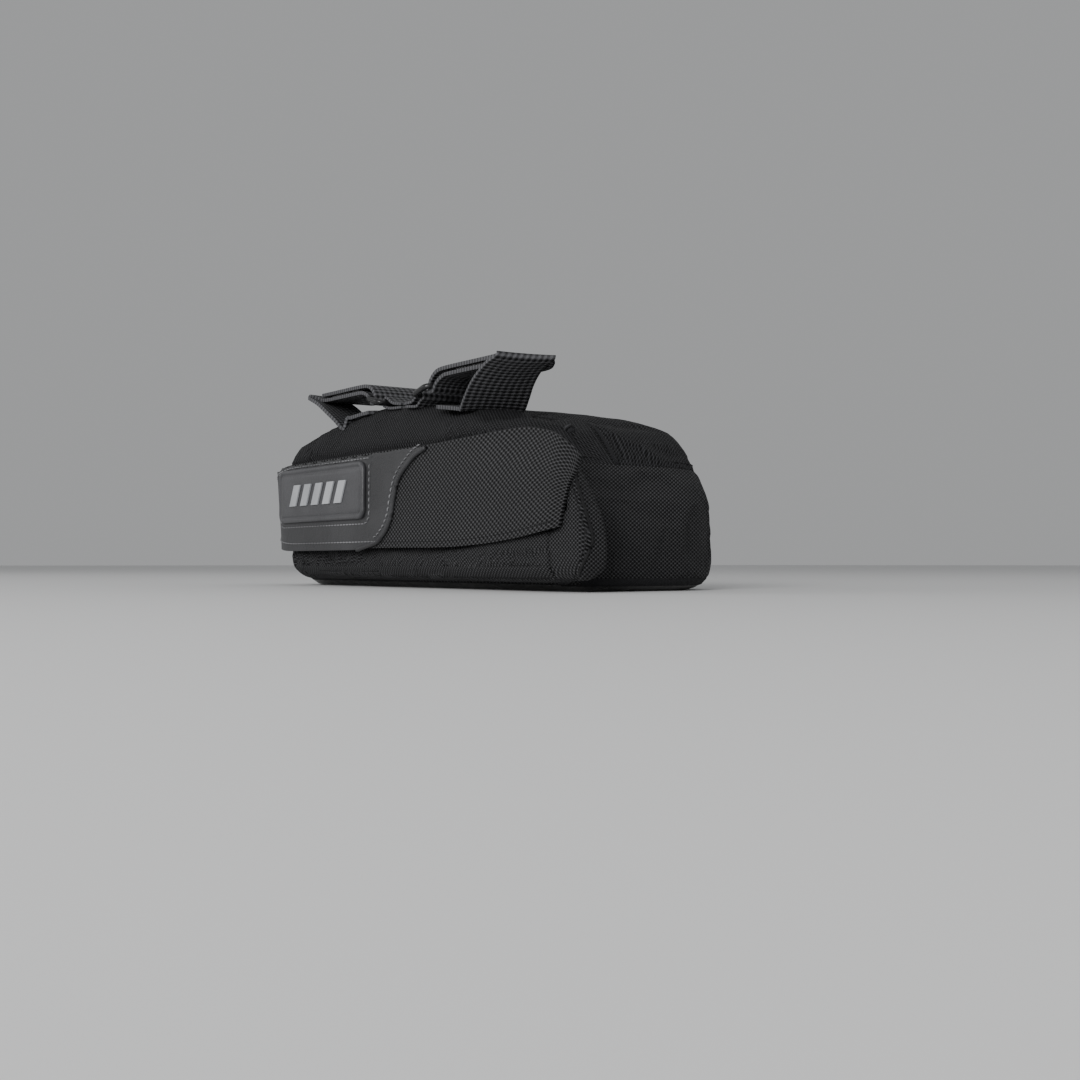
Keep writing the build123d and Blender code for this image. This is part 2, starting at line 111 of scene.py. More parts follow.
# ---- materials ------------------------------------------------------------------------------------
class Shader:
    """A material's node tree with short calls for the nodes used here."""

    def __init__(self, name, rough, sheen=0.0, coat=0.0, metallic=0.0, specular=0.5):
        self.material = bpy.data.materials.new(name)
        self.material.use_nodes = True
        self.tree = self.material.node_tree
        self.bsdf = self.tree.nodes["Principled BSDF"]
        values = {
            "Roughness": rough,
            "Sheen Weight": sheen,
            "Sheen Roughness": 0.5,
            "Coat Weight": coat,
            "Metallic": metallic,
            "Specular IOR Level": specular,
        }
        for key, value in values.items():
            self.bsdf.inputs[key].default_value = value

    def node(self, kind, **settings):
        node = self.tree.nodes.new(kind)
        for key, value in settings.items():
            setattr(node, key, value)
        return node

    def link(self, value, socket):
        if isinstance(value, (int, float)):
            socket.default_value = value
        elif isinstance(value, tuple):
            socket.default_value = (*value, 1.0)
        else:
            self.tree.links.new(value, socket)

    def add(self, kind, output, inputs, **settings):
        """Adds a node, fills those of its inputs and gives one of its outputs."""
        node = self.node(kind, **settings)
        for key, value in inputs.items():
            self.link(value, node.inputs[key])
        return node.outputs[output]

    def math(self, operation, a, b=0.0):
        return self.add("ShaderNodeMath", 0, {0: a, 1: b}, operation=operation)

    def coordinates(self, uv=False):
        if uv:
            return self.node("ShaderNodeUVMap", uv_map="cloth").outputs["UV"]
        return self.node("ShaderNodeTexCoord").outputs["Object"]

    def noise(self, scale, detail=3.0, uv=False, distort=0.0):
        inputs = {"Vector": self.coordinates(uv), "Scale": scale, "Detail": detail, "Distortion": distort}
        return self.add("ShaderNodeTexNoise", "Fac", inputs)

    def mix(self, factor, a, b):
        return self.add("ShaderNodeMix", "Result", {"Factor": factor, "A": a, "B": b}, data_type="RGBA")

    def spread(self, value, low, high, to_low=0.0, to_high=1.0):
        """The value moved from the span low to high into the span to_low to to_high."""
        inputs = {"Value": value, "From Min": low, "From Max": high, "To Min": to_low, "To Max": to_high}
        return self.add("ShaderNodeMapRange", "Result", inputs)

    def bump(self, height, distance, strength=1.0, base=None):
        inputs = {"Distance": distance, "Strength": strength, "Height": height}
        if base is not None:
            inputs["Normal"] = base
        return self.add("ShaderNodeBump", "Normal", inputs)

    def finish(self, colour, normal=None, rough=None):
        for key, value in (("Base Color", colour), ("Normal", normal), ("Roughness", rough)):
            if value is not None:
                self.link(value, self.bsdf.inputs[key])
        return self.material


def weave_height(shader, pitch_u, pitch_v, ribbed):
    """Height, 0 to 1, of staggered rounded threads, or of rows in line when ribbed. Pitches are in metres."""
    split = shader.node("ShaderNodeSeparateXYZ")
    shader.link(shader.coordinates(uv=True), split.inputs[0])
    u = shader.math("COSINE", shader.math("MULTIPLY", split.outputs["X"], math.tau / pitch_u))
    v = shader.math("COSINE", shader.math("MULTIPLY", split.outputs["Y"], math.tau / pitch_v))
    if ribbed:
        return shader.spread(shader.math("ADD", shader.math("MULTIPLY", u, 0.8), v), -1.3, 1.5)
    return shader.math("POWER", shader.spread(shader.math("MULTIPLY", u, v), -0.7, 0.9), 1.2)


def woven(name, pitch_u, pitch_v, dark, light, depth, rough=0.7, sheen=0.02, dusty=0.3, ribbed=False):
    shader = Shader(name, rough, sheen=sheen, specular=0.14)
    height = weave_height(shader, pitch_u, pitch_v, ribbed)
    patches = shader.spread(shader.noise(18.0, 4.0), 0.3, 0.75)
    threads = shader.spread(shader.noise(900.0, 2.0, uv=True), 0.3, 0.7, 0.75, 1.15)
    # The colour follows the thread height: a painted highlight on the thread crowns and painted shade in the gaps,
    # times a real random variation per thread.
    crown_light_gap_shade = shader.math("MULTIPLY", height, threads)
    colour = shader.mix(crown_light_gap_shade, dark, light)
    worn = tuple(min(1.0, c * 1.7 + 0.006) for c in light)
    amount = shader.math("MULTIPLY", patches, dusty)
    colour = shader.mix(amount, colour, shader.mix(crown_light_gap_shade, dark, worn))
    fuzz = shader.bump(shader.noise(2600.0, 2.0), 0.0001, 0.5)
    normal = shader.bump(height, depth, 1.0, fuzz)
    return shader.finish(colour, normal, shader.spread(patches, 0, 1, rough - 0.05, rough + 0.12))


def leather(name, dark, light, rough, coat):
    shader = Shader(name, rough, coat=coat, specular=0.5)
    shader.bsdf.inputs["Coat Roughness"].default_value = 0.42
    inputs = {"Vector": shader.coordinates(), "Scale": 950.0}
    cells = shader.add("ShaderNodeTexVoronoi", "Distance", inputs, feature="DISTANCE_TO_EDGE")
    grain = shader.spread(cells, 0.0, 0.35)
    smear = shader.spread(shader.noise(40.0, 5.0, distort=0.6), 0.3, 0.7)
    colour = shader.mix(smear, dark, light)
    creases = shader.bump(shader.noise(160.0, 4.0, distort=1.0), 0.0006, 0.45)
    normal = shader.bump(grain, 0.00012, 0.6, creases)
    return shader.finish(colour, normal, shader.spread(smear, 0, 1, rough - 0.06, rough + 0.08))


def moulded(name, dark, light, rough, coat=0.0, metallic=0.0, scale=500.0, depth=0.00008):
    shader = Shader(name, rough, coat=coat, metallic=metallic)
    speckle = shader.noise(scale, 4.0)
    stains = shader.spread(shader.noise(35.0, 4.0), 0.35, 0.7)
    colour = shader.mix(stains, dark, light)
    normal = shader.bump(speckle, depth, 0.7)
    return shader.finish(colour, normal, shader.spread(speckle, 0.3, 0.7, rough - 0.05, rough + 0.08))


def pile(name, dark, light):
    shader = Shader(name, 0.85, sheen=0.5, specular=0.2)
    loops = shader.noise(1500.0, 3.0, distort=1.5)
    colour = shader.mix(shader.spread(loops, 0.35, 0.65), dark, light)
    return shader.finish(colour, shader.bump(loops, 0.0009))


# In each woven cloth the first colour is the painted shade in the thread gaps and the second the painted highlight on
# the thread crowns.
WING_CLOTH = woven("wing_cloth", 0.0034, 0.0022, (0.001, 0.001, 0.0012), (0.092, 0.092, 0.096), 0.0009)
BODY_CLOTH = woven("body_cloth", 0.0024, 0.0018, (0.001, 0.001, 0.0012), (0.078, 0.078, 0.082), 0.0008)
# The top panels' cloth is the walls' woven nylon made darker: painted shade on the bag's top.
TOP_CLOTH_PAINTED_SHADE = woven("top_cloth_painted_shade", 0.0024, 0.0020, (0.001, 0.001, 0.0012), (0.052, 0.052, 0.056), 0.0008)
LINING_CLOTH = woven("lining_cloth", 0.0012, 0.0012, (0.010, 0.010, 0.011), (0.060, 0.060, 0.063), 0.0002)
WEBBING = woven(
    "strap_webbing", 0.0032, 0.0024, (0.006, 0.006, 0.0065), (0.115, 0.115, 0.122), 0.0006, 0.6, ribbed=True
)
BINDING = woven("binding_tape", 0.0009, 0.0007, (0.006, 0.006, 0.007), (0.04, 0.04, 0.043), 0.0002)
ZIP_TAPE = woven("zip_tape_cloth", 0.0007, 0.0009, (0.008, 0.008, 0.009), (0.04, 0.04, 0.042), 0.00015)
LEATHER = leather("smooth_leatherette", (0.022, 0.022, 0.024), (0.044, 0.044, 0.047), 0.50, 0.10)
BADGE_RUBBER = leather("badge_rubber", (0.045, 0.045, 0.049), (0.070, 0.070, 0.075), 0.42, 0.2)
MARK = moulded("badge_mark", (0.40, 0.41, 0.43), (0.52, 0.53, 0.55), 0.32, coat=0.3)
THREAD = moulded("sewing_thread", (0.13, 0.13, 0.135), (0.26, 0.26, 0.27), 0.6, scale=2500.0)
# Near-black thread for the dark stitching, darkened further as painted shade so the rear corner seam reads as a dark
# groove.
DARK_THREAD_AND_SEAM_SHADE = moulded("seam_thread_and_shade", (0.004, 0.004, 0.0045), (0.012, 0.012, 0.013), 0.9, scale=2500.0)
COATED = moulded(
    "coated_underside", (0.004, 0.004, 0.0045), (0.010, 0.010, 0.011), 0.30, coat=0.3, scale=160.0, depth=0.0004
)
COIL = moulded("zip_coil", (0.015, 0.015, 0.016), (0.035, 0.035, 0.037), 0.35)
BLACK_METAL = moulded("black_metal", (0.02, 0.02, 0.021), (0.05, 0.05, 0.052), 0.32, metallic=0.6, coat=0.2)
GRIP_RUBBER = moulded("grip_rubber", (0.014, 0.014, 0.015), (0.03, 0.03, 0.031), 0.6)
BOARD = moulded("board_plastic", (0.03, 0.03, 0.031), (0.05, 0.05, 0.052), 0.5, scale=900.0)
HOOKS = pile("hook_and_loop", (0.006, 0.006, 0.007), (0.035, 0.035, 0.037))


# ---- mesh building --------------------------------------------------------------------------------
def make_piece(name, verts, faces, material, uvs=None):
    mesh = bpy.data.meshes.new(name)
    mesh.from_pydata([tuple(v) for v in verts], [], [tuple(f) for f in faces])
    mesh.materials.append(material)
    if uvs is not None:
        layer = mesh.uv_layers.new(name="cloth")
        values = np.array([uvs[v] for f in faces for v in f], dtype=float)
        layer.data.foreach_set("uv", values.ravel())
    mesh.update()
    mesh.shade_smooth()
    piece = bpy.data.objects.new(name, mesh)
    bpy.context.scene.collection.objects.link(piece)
    return piece


def settle(piece, body, slot, *nodes):
    """Says which body the piece rides on and hides the CAD nodes it stands for. The finish, slot, is not used."""
    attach(piece, body)
    if nodes:
        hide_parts(*nodes)
    return piece


def grid_faces(rows, columns, closed=False):
    across = columns if closed else columns - 1
    return [
        (r * columns + c, r * columns + after, (r + 1) * columns + after, (r + 1) * columns + c)
        for r in range(rows - 1)
        for c, after in ((c, (c + 1) % columns) for c in range(across))
    ]


def capped_faces(base, rings, sides):
    """Faces of a closed bar made of rings of vertices, the first of them numbered base."""
    faces = [tuple(base + i for i in face) for face in grid_faces(rings, sides, closed=True)]
    faces.append(tuple(base + i for i in reversed(range(sides))))
    faces.append(tuple(base + (rings - 1) * sides + i for i in range(sides)))
    return faces


def thicken(piece, thickness, offset=-1.0, even=False):
    """Makes a sheet solid: inwards at offset -1, half each way at 0 and outwards at 1."""
    solid = piece.modifiers.new("thickness", "SOLIDIFY")
    solid.thickness = thickness
    solid.offset = offset
    solid.use_even_offset = even


def grid_piece(name, points, material, thickness=0.0, offset=-1.0, bevel=0.0):
    """A cloth patch through a grid of points (rows, columns, 3), thickened to a closed solid."""
    rows, columns = points.shape[:2]
    u = np.linalg.norm(np.diff(points, axis=1), axis=2).mean(axis=0)
    v = np.linalg.norm(np.diff(points, axis=0), axis=2).mean(axis=1)
    u = np.concatenate([[0], np.cumsum(u)])
    v = np.concatenate([[0], np.cumsum(v)])
    uvs = [(u[c], v[r]) for r in range(rows) for c in range(columns)]
    piece = make_piece(name, points.reshape(-1, 3), grid_faces(rows, columns), material, uvs)
    if thickness:
        thicken(piece, thickness, offset, even=True)
    if bevel:
        edge = piece.modifiers.new("edge", "BEVEL")
        edge.width = bevel
        edge.segments = 2
        edge.limit_method = "ANGLE"
        edge.angle_limit = math.radians(50)
    return piece


def tube(name, points, radius, material, sides=10):
    """A round cord along a line of points, with closed ends."""
    points = [Vector(p) for p in points]
    verts, uvs = [], []
    length = 0.0
    for i, p in enumerate(points):
        ahead = (points[min(i + 1, len(points) - 1)] - points[max(i - 1, 0)]).normalized()
        side = ahead.cross(Vector((0, 0, 1) if abs(ahead.z) < 0.9 else (0, 1, 0))).normalized()
        up = side.cross(ahead)
        length += (p - points[i - 1]).length if i else 0.0
        for k in range(sides):
            a = 2 * math.pi * k / sides
            verts.append(p + (side * math.cos(a) + up * math.sin(a)) * radius)
            uvs.append((k / sides * 2 * math.pi * radius, length))
    return make_piece(name, verts, capped_faces(0, len(points), sides), material, uvs)


def resample(points, step):
    """The same line with points about one step apart."""
    points = np.array(points, dtype=float)
    lengths = np.concatenate([[0], np.cumsum(np.linalg.norm(np.diff(points, axis=0), axis=1))])
    count = max(2, int(round(lengths[-1] / step)) + 1)
    at = np.linspace(0, lengths[-1], count)
    return np.stack([np.interp(at, lengths, points[:, k]) for k in range(points.shape[1])], axis=1)


STITCH_RINGS = [(-0.1, 0.35, -0.3), (0.25, 0.95, 0.45), (0.75, 0.95, 0.45), (1.1, 0.35, -0.3)]
STITCH_SIDES = 6


def stitches(name, lines, outward, material, length, gap, radius):
    """Rows of short raised threads along lines of points. outward gives the surface's direction at a point.

    STITCH_RINGS gives each ring's place along its thread, its share of the radius and its lift in radii.
    """
    verts, faces = [], []
    for line in lines:
        dense = resample(line, (length + gap) / 2)
        for start, end in zip(dense[0:-1:2], dense[1::2]):
            along = Vector(end - start).normalized()
            out = outward(Vector(start)).normalized()
            side = along.cross(out).normalized()
            base = len(verts)
            for t, fat, lift in STITCH_RINGS:
                centre = Vector(start) + Vector(end - start) * t * (length / (length + gap) * 2)
                centre = centre + out * radius * lift
                for k in range(STITCH_SIDES):
                    a = math.tau * k / STITCH_SIDES
                    verts.append(centre + (side * math.cos(a) + out * math.sin(a)) * radius * fat)
            faces += capped_faces(base, len(STITCH_RINGS), STITCH_SIDES)
    return make_piece(name, verts, faces, material)


def sew(name, lines, outward, thread, size, body, slot):
    """Stitches of that (length, gap, radius) that ride on that body."""
    settle(stitches(name, lines, outward, thread, *size), body, slot)


def rounded_rectangle(low, high, radius, count=9):
    """Outline points of a rectangle between two (x, z) corners, from its right side over the top and round."""
    points = []
    corners = (((high[0], high[1]), 1, 1), ((low[0], high[1]), -1, 1), ((low[0], low[1]), -1, -1),
               ((high[0], low[1]), 1, -1))
    for i, ((x, z), sx, sz) in enumerate(corners):
        for k in range(count):
            a = math.radians(90 * i + 90 * k / (count - 1))
            points.append((x - sx * radius + radius * math.cos(a), z - sz * radius + radius * math.sin(a)))
    return points


# ---- the bag's cloth form -------------------------------------------------------------------------
TOP_KNOTS = [(-0.165, 0.070), (-0.140, 0.080), (-0.080, 0.0905), (0.0, 0.0935), (0.060, 0.0865),
             (0.100, 0.0800), (0.130, 0.0755), (0.150, 0.0715), (0.165, 0.0660)]
REAR_KNOTS = [(0.0, -0.0330), (0.004, -0.0385), (0.008, -0.0424), (0.013, -0.0437), (0.0175, -0.0425),
              (0.0215, -0.0385), (0.027, -0.0362), (0.045, -0.0360), (0.064, -0.0361), (0.0685, -0.0370),
              (0.0712, -0.0402), (0.0740, -0.0430), (0.078, -0.0432), (0.084, -0.0405), (0.091, -0.0345),
              (0.098, -0.0220)]


def corner_distance(x, y, low, high, radii):
    """Signed distance to a rectangle whose corner radii are right front, right rear, left front, left rear."""
    cx, cy = (low[0] + high[0]) / 2, (low[1] + high[1]) / 2
    px, py = x - cx, y - cy
    radius = np.where(px > 0, np.where(py > 0, radii[0], radii[1]), np.where(py > 0, radii[2], radii[3]))
    qx = np.abs(px) - (high[0] - low[0]) / 2 + radius
    qy = np.abs(py) - (high[1] - low[1]) / 2 + radius
    outside = np.hypot(np.maximum(qx, 0), np.maximum(qy, 0))
    return np.minimum(np.maximum(qx, qy), 0) + outside - radius


def form_distance(x, y, z):
    """Negative inside the bag and positive outside."""
    swell = 0.0012 * np.sin(np.pi * np.clip(z / 0.075, 0, 1)) - 0.0012
    lean_left = 0.005 * smooth_step(0.0, -0.12, x) * (1 - smooth_step(0.015, 0.070, z))
    lean_right = 0.62 * np.maximum(z - 0.042, 0.0) * smooth_step(0.05, 0.14, x)
    main_radii = (0.045, 0.020, 0.045, 0.038)
    main_high = (MAIN_X - 0.0035, FRONT_Y)
    main = corner_distance(x - lean_left + lean_right, y, (-MAIN_X, REAR_Y), main_high, main_radii)
    forward = np.clip((y + 0.044) / 0.017, 0.0, 1.0)
    pocket_lean = (0.14 + 0.48 * forward) * smooth_max(z - 0.025, 0.0, 0.010)
    pocket = corner_distance(x + pocket_lean, y, (0.06, REAR_Y), (RIGHT_X, -0.0265), (0.004, 0.0045, 0.004, 0.004))
    plan = smooth_min(main, pocket, 0.010) - swell
    top = z - smooth_curve(x, TOP_KNOTS)
    floor = np.interp(y, [-0.026, -0.018], [0.004, 0.0]) - z
    roll_lift = 0.0085 * smooth_step(0.045, 0.125, x) * smooth_step(0.010, 0.018, z)
    roll_lift = roll_lift * (1 - smooth_step(0.034, 0.054, z))
    recess = smooth_curve(z - roll_lift, REAR_KNOTS)
    closed_end = np.minimum(recess, -0.0385 - 0.0052 * smooth_step(0.004, 0.010, z))
    fade = smooth_step(0.140, 0.151, x) * (1 - smooth_step(0.056, 0.068, z))
    under_wing = 0.0018 * smooth_step(0.03, 0.06, x) * smooth_step(0.062, 0.070, z)
    rear = (recess * (1 - fade) + closed_end * fade + under_wing) - y
    top_round = 0.020 + 0.030 * smooth_step(0.10, 0.15, x) * np.clip((y + 0.044) / 0.03, 0.0, 1.0)
    sides = smooth_max(smooth_max(plan, top, top_round), floor, 0.014)
    return smooth_max(sides, rear, 0.003)


CORNER_OUT = (0.7071, -0.7071, 0.0)
CORNER_SEAM = [(0.1598, -0.0447, 0.0530), (0.1652, -0.0372, 0.0220), (0.1600, -0.0425, 0.0064)]
SPINE_X = (-0.100, 0.118)
SPINE_Z = 0.045


def spine_y(x):
    """The inner line the form is measured from bends rearwards towards the pocket's end."""
    return 0.012 - 0.030 * smooth_step(0.03, 0.118, x)


def refine(origin, direction, low, high, inset, steps):
    """Halves the span in which each ray leaves the form that many times, and gives the points there."""
    for _ in range(steps):
        middle = (low + high) / 2
        p = origin + direction * middle[..., None]
        out = form_distance(p[..., 0], p[..., 1], p[..., 2]) + inset > 0
        high = np.where(out, middle, high)
        low = np.where(out, low, middle)
    return origin + direction * high[..., None]


def form_grid(rows, columns, inset=0.0):
    """Points of the cloth form: rows run from the bottom's middle to the top's middle, columns go round."""
    ring = []
    half_x, half_y, radius = 0.170, 0.062, 0.040
    centre_x, centre_y = 0.006, 0.012
    corners = [(1, 1), (-1, 1), (-1, -1), (1, -1)]
    for i, (sx, sy) in enumerate(corners):
        for k in range(13):
            a = math.radians(90 * i + 90 * k / 12)
            x = centre_x + sx * (half_x - radius) + radius * math.cos(a)
            ring.append((x, centre_y + sy * (half_y - radius) + radius * math.sin(a)))
    ring.append(ring[0])
    ring = resample(ring, 2 * (half_x + half_y) * 2 / columns)[:-1]
    spine_x = np.clip(ring[:, 0], *SPINE_X)
    spine = np.stack([spine_x, spine_y(spine_x)], axis=1)
    ahead = ring - spine
    ahead /= np.linalg.norm(ahead, axis=1)[:, None]
    share = np.linspace(-1, 1, rows)
    angle = np.radians(90) * np.sign(share) * np.abs(share) ** 1.05
    cos, sin = np.cos(angle)[:, None], np.sin(angle)[:, None]
    direction = np.stack([cos * ahead[None, :, 0], cos * ahead[None, :, 1], sin + 0 * ahead[None, :, 0]], axis=2)
    origin = np.stack([spine[:, 0], spine[:, 1], np.full(len(ring), SPINE_Z)], axis=1)[None]
    reach = np.linspace(0.002, 0.12, 160)
    found = np.full(direction.shape[:2], reach[-1])
    settled = np.zeros(direction.shape[:2], dtype=bool)
    for r in reach:
        p = origin + direction * r
        out = (form_distance(p[..., 0], p[..., 1], p[..., 2]) + inset > 0) & ~settled
        found[out] = r
        settled |= out
    return refine(origin, direction, found - (reach[1] - reach[0]), found, inset, 14)


def form_normals(points, step=0.0008):
    x, y, z = points[..., 0], points[..., 1], points[..., 2]
    slope = np.stack(
        [
            form_distance(x + step, y, z) - form_distance(x - step, y, z),
            form_distance(x, y + step, z) - form_distance(x, y - step, z),
            form_distance(x, y, z + step) - form_distance(x, y, z - step),
        ],
        axis=-1,
    )
    return slope / np.maximum(np.linalg.norm(slope, axis=-1), 1e-9)[..., None]


def form_outward(p):
    return Vector(form_normals(np.array(p)))


def solve_outward(origin, direction, inset=0.0, reach=0.13):
    """Where rays from inside the bag leave its cloth form."""
    low = np.zeros(origin.shape[:-1])
    return refine(origin, direction, low, np.full(origin.shape[:-1], reach), inset, 24)


def top_point(x, y, rise=0.0):
    """The point on the bag's top above this place."""
    found = solve_outward(np.array([[x, y, 0.05]]), np.array([[0.0, 0.0, 1.0]]))[0]
    return Vector((x, y, found[2] + rise))


def corner_point(p, rise=0.0):
    """The cloth form's surface near a point of its right rear corner, straight out from the inside."""
    start = np.array(p) - np.array(CORNER_OUT) * 0.055
    found = solve_outward(start[None], np.array([CORNER_OUT]), reach=0.08)[0]
    return Vector(found + form_normals(found) * rise)


# ---- the sewn body --------------------------------------------------------------------------------
def mouth_distance(x, z):
    """Signed distance to the mouth flap's outline in the rear view."""
    centre_x = (MOUTH_LOW[0] + MOUTH_HIGH[0]) / 2
    half_x = (MOUTH_HIGH[0] - MOUTH_LOW[0]) / 2
    half_z = MOUTH_HIGH[2]
    qx = np.abs(x - centre_x) - half_x + MOUTH_R
    qz = np.abs(z) - half_z + MOUTH_R
    outside = np.hypot(np.maximum(qx, 0), np.maximum(qz, 0))
    return np.minimum(np.maximum(qx, qz), 0) + outside - MOUTH_R


def zip_shown(x, z):
    """1 where the zip shows between the cloth edges and 0 below the wing, where they close over it."""
    low = np.where(np.asarray(x) > 0, 0.0275, 0.0215)
    return smooth_step(low, low + 0.008, z)


def cloth_edges(x, z):
    """Distances from the mouth outline of the flap's edge and of the opening's edge."""
    closed = float(0.0042 * (1 - zip_shown(x, z)))
    return closed, ZIP_GAP - closed


def rear_face_y(x, z):
    """The rear face's place in Y under the wing."""
    start = np.stack([x, np.full_like(x, 0.0), z], axis=-1)
    return solve_outward(start, np.broadcast_to(np.array([0.0, -1.0, 0.0]), start.shape))[..., 1]


SIM_FRAMES = 16
SIM_PRESSURE = 1.2
MOST_OUT = 0.0030
INWARD_SHARE = 0.45


def inflate(piece, held):
    """Puffs and creases a cloth form by simulation, holding the vertices in held, and keeps the result.

    No vertex moves further out than MOST_OUT, or further in than INWARD_SHARE of that.
    """
    group = piece.vertex_groups.new(name="held")
    group.add([int(i) for i in held], 1.0, "REPLACE")
    cloth = piece.modifiers.new("cloth", "CLOTH")
    settings = cloth.settings
    settings.quality = 5
    settings.mass = 0.25
    settings.tension_stiffness = 18
    settings.compression_stiffness = 18
    settings.shear_stiffness = 8
    settings.bending_stiffness = 0.35
    settings.use_pressure = True
    settings.uniform_pressure_force = SIM_PRESSURE
    settings.vertex_group_mass = "held"
    settings.shrink_min = -0.018
    settings.effector_weights.gravity = 0.0
    cloth.collision_settings.use_collision = False
    before = np.empty(len(piece.data.vertices) * 3)
    piece.data.vertices.foreach_get("co", before)
    scene = bpy.context.scene
    scene.frame_start, scene.frame_end = 1, SIM_FRAMES
    cloth.point_cache.frame_start, cloth.point_cache.frame_end = 1, SIM_FRAMES
    for number in range(1, SIM_FRAMES + 1):
        scene.frame_set(number)
    shaped = piece.evaluated_get(bpy.context.evaluated_depsgraph_get())
    after = np.empty_like(before)
    shaped.data.vertices.foreach_get("co", after)
    move = (after - before).reshape(-1, 3)
    size = np.linalg.norm(move, axis=1)
    normals = np.array([v.normal for v in piece.data.vertices])
    limit = np.where(np.sum(move * normals, axis=1) > 0, MOST_OUT, MOST_OUT * INWARD_SHARE)
    keep = np.minimum(1.0, limit / np.maximum(size, 1e-9))
    piece.modifiers.clear()
    piece.vertex_groups.clear()
    piece.data.vertices.foreach_set("co", (before.reshape(-1, 3) + move * keep[:, None]).ravel())
    scene.frame_set(1)


FRONT_SEAM_X = MAIN_X - 0.045
LEFT_REAR_SEAM_X = -0.113
INSIDE_REAR_WALL = (0.10, -0.044, 0.03)


def corner_planes():
    """The two planes the rear corner seam is cut along, each as a point and a normal towards the rear wall."""
    planes = []
    for a, b in zip(CORNER_SEAM, CORNER_SEAM[1:]):
        normal = (Vector(b) - Vector(a)).cross(Vector(CORNER_OUT)).normalized()
        faces_wall = normal.dot(Vector(INSIDE_REAR_WALL) - Vector(a)) > 0
        planes.append((Vector(a), normal * (1 if faces_wall else -1)))
    return planes


FOLD_GAP = 0.0005


def body_panel(centre):
    """Which sewn panel a face of the form belongs to, from its centre."""
    x, y, z = centre
    if z < BOTTOM_SEAM_Z:
        return "bottom_panel"
    if z > LID_SEAM_Z:
        return "shoulder_panel" if y < LID_SEAM_Y else "lid_panel"
    if y > 0 and abs(x) < FRONT_SEAM_X:
        return "front_wall"
    before_seam = all((centre - point).dot(normal) > 0 for point, normal in corner_planes())
    if y < -0.028 and x > LEFT_REAR_SEAM_X and before_seam:
        distance = mouth_distance(x, z)
        flap_edge, wall_edge = cloth_edges(x, z)
        if z < MOUTH_LOW[2] or distance > wall_edge:
            in_fold = z > MOUTH_LOW[2] - FOLD_GAP and distance < wall_edge
            return "zip_opening" if in_fold else "rear_wall"
        return "mouth_flap" if distance < flap_edge else "zip_opening"
    return "right_gusset" if x > 0 else "left_gusset"


def panel_uv(panel, p):
    """Where a point of a panel lies on its cloth, in metres."""
    x, y, z = p
    if panel in ("shoulder_panel", "lid_panel"):
        return (x, 0.8 * (z if y < 0 else -z) + y)
    if panel in ("right_gusset", "left_gusset"):
        return (0.8 * abs(x) + y, z)
    if panel == "bottom_panel":
        return (x, y - z)
    return (x, z + 0.5 * y)


def panel_form(rows, columns, inset=0.0):
    """The closed cloth form as a mesh in a bmesh, with its poles merged and its normals pointing out."""
    grid = form_grid(rows, columns, inset)
    columns = grid.shape[1]
    mesh = bpy.data.meshes.new("form")
    mesh.from_pydata([tuple(p) for p in grid.reshape(-1, 3)], [], grid_faces(rows, columns, closed=True))
    shape = bmesh.new()
    shape.from_mesh(mesh)
    bpy.data.meshes.remove(mesh)
    bmesh.ops.remove_doubles(shape, verts=shape.verts, dist=0.00002)
    bmesh.ops.recalc_face_normals(shape, faces=shape.faces)
    return shape


def cut(shape, point, normal):
    bmesh.ops.bisect_plane(
        shape, geom=shape.verts[:] + shape.edges[:] + shape.faces[:], plane_co=point, plane_no=normal, dist=0.00001
    )


def collect(faces):
    """The faces' corner points, each once, and the faces as lists of those points' numbers."""
    ids, verts, polygons = {}, [], []
    for face in faces:
        for vert in face.verts:
            if vert not in ids:
                ids[vert] = len(verts)
                verts.append(vert.co.copy())
        polygons.append([ids[v] for v in face.verts])
    return verts, polygons


def split_panels(shape, panels, prefix, material_of, thickness):
    """One piece for each panel of the form, thickened inwards. Edges along the mouth are moved onto its curve."""
    pieces = {}
    faces_of = {name: [] for name in panels}
    for face in shape.faces:
        name = body_panel(face.calc_center_median())
        if name in faces_of:
            faces_of[name].append(face)
    for name, faces in faces_of.items():
        verts, polygons = collect(faces)
        if name in ("rear_wall", "mouth_flap"):
            used = {}
            for polygon in polygons:
                for a, b in zip(polygon, polygon[1:] + polygon[:1]):
                    used[frozenset((a, b))] = used.get(frozenset((a, b)), 0) + 1
            rim = {i for edge, count in used.items() if count == 1 for i in edge}
            for i in rim:
                flap_edge, wall_edge = cloth_edges(verts[i].x, verts[i].z)
                snap_to_mouth(verts[i], wall_edge if name == "rear_wall" else flap_edge)
        uvs = [panel_uv(name, v) for v in verts]
        piece = make_piece(f"{prefix}_{name}", verts, polygons, material_of(name), uvs)
        thicken(piece, thickness)
        pieces[name] = piece
    return pieces


def snap_to_mouth(vert, target):
    """Moves a rim vertex along the rear face onto the mouth outline grown by target."""
    if vert.z < MOUTH_LOW[2] + 0.001 or vert.z > MOUTH_HIGH[2] + 0.02:
        return
    if abs(float(mouth_distance(vert.x, vert.z)) - target) > 0.004:
        return
    step = 0.0003
    for _ in range(3):
        gap = float(mouth_distance(vert.x, vert.z)) - target
        slope_x = float(mouth_distance(vert.x + step, vert.z) - mouth_distance(vert.x - step, vert.z))
        slope_z = float(mouth_distance(vert.x, vert.z + step) - mouth_distance(vert.x, vert.z - step))
        size = math.hypot(slope_x, slope_z)
        vert.x -= gap * slope_x / size
        vert.z -= gap * slope_z / size


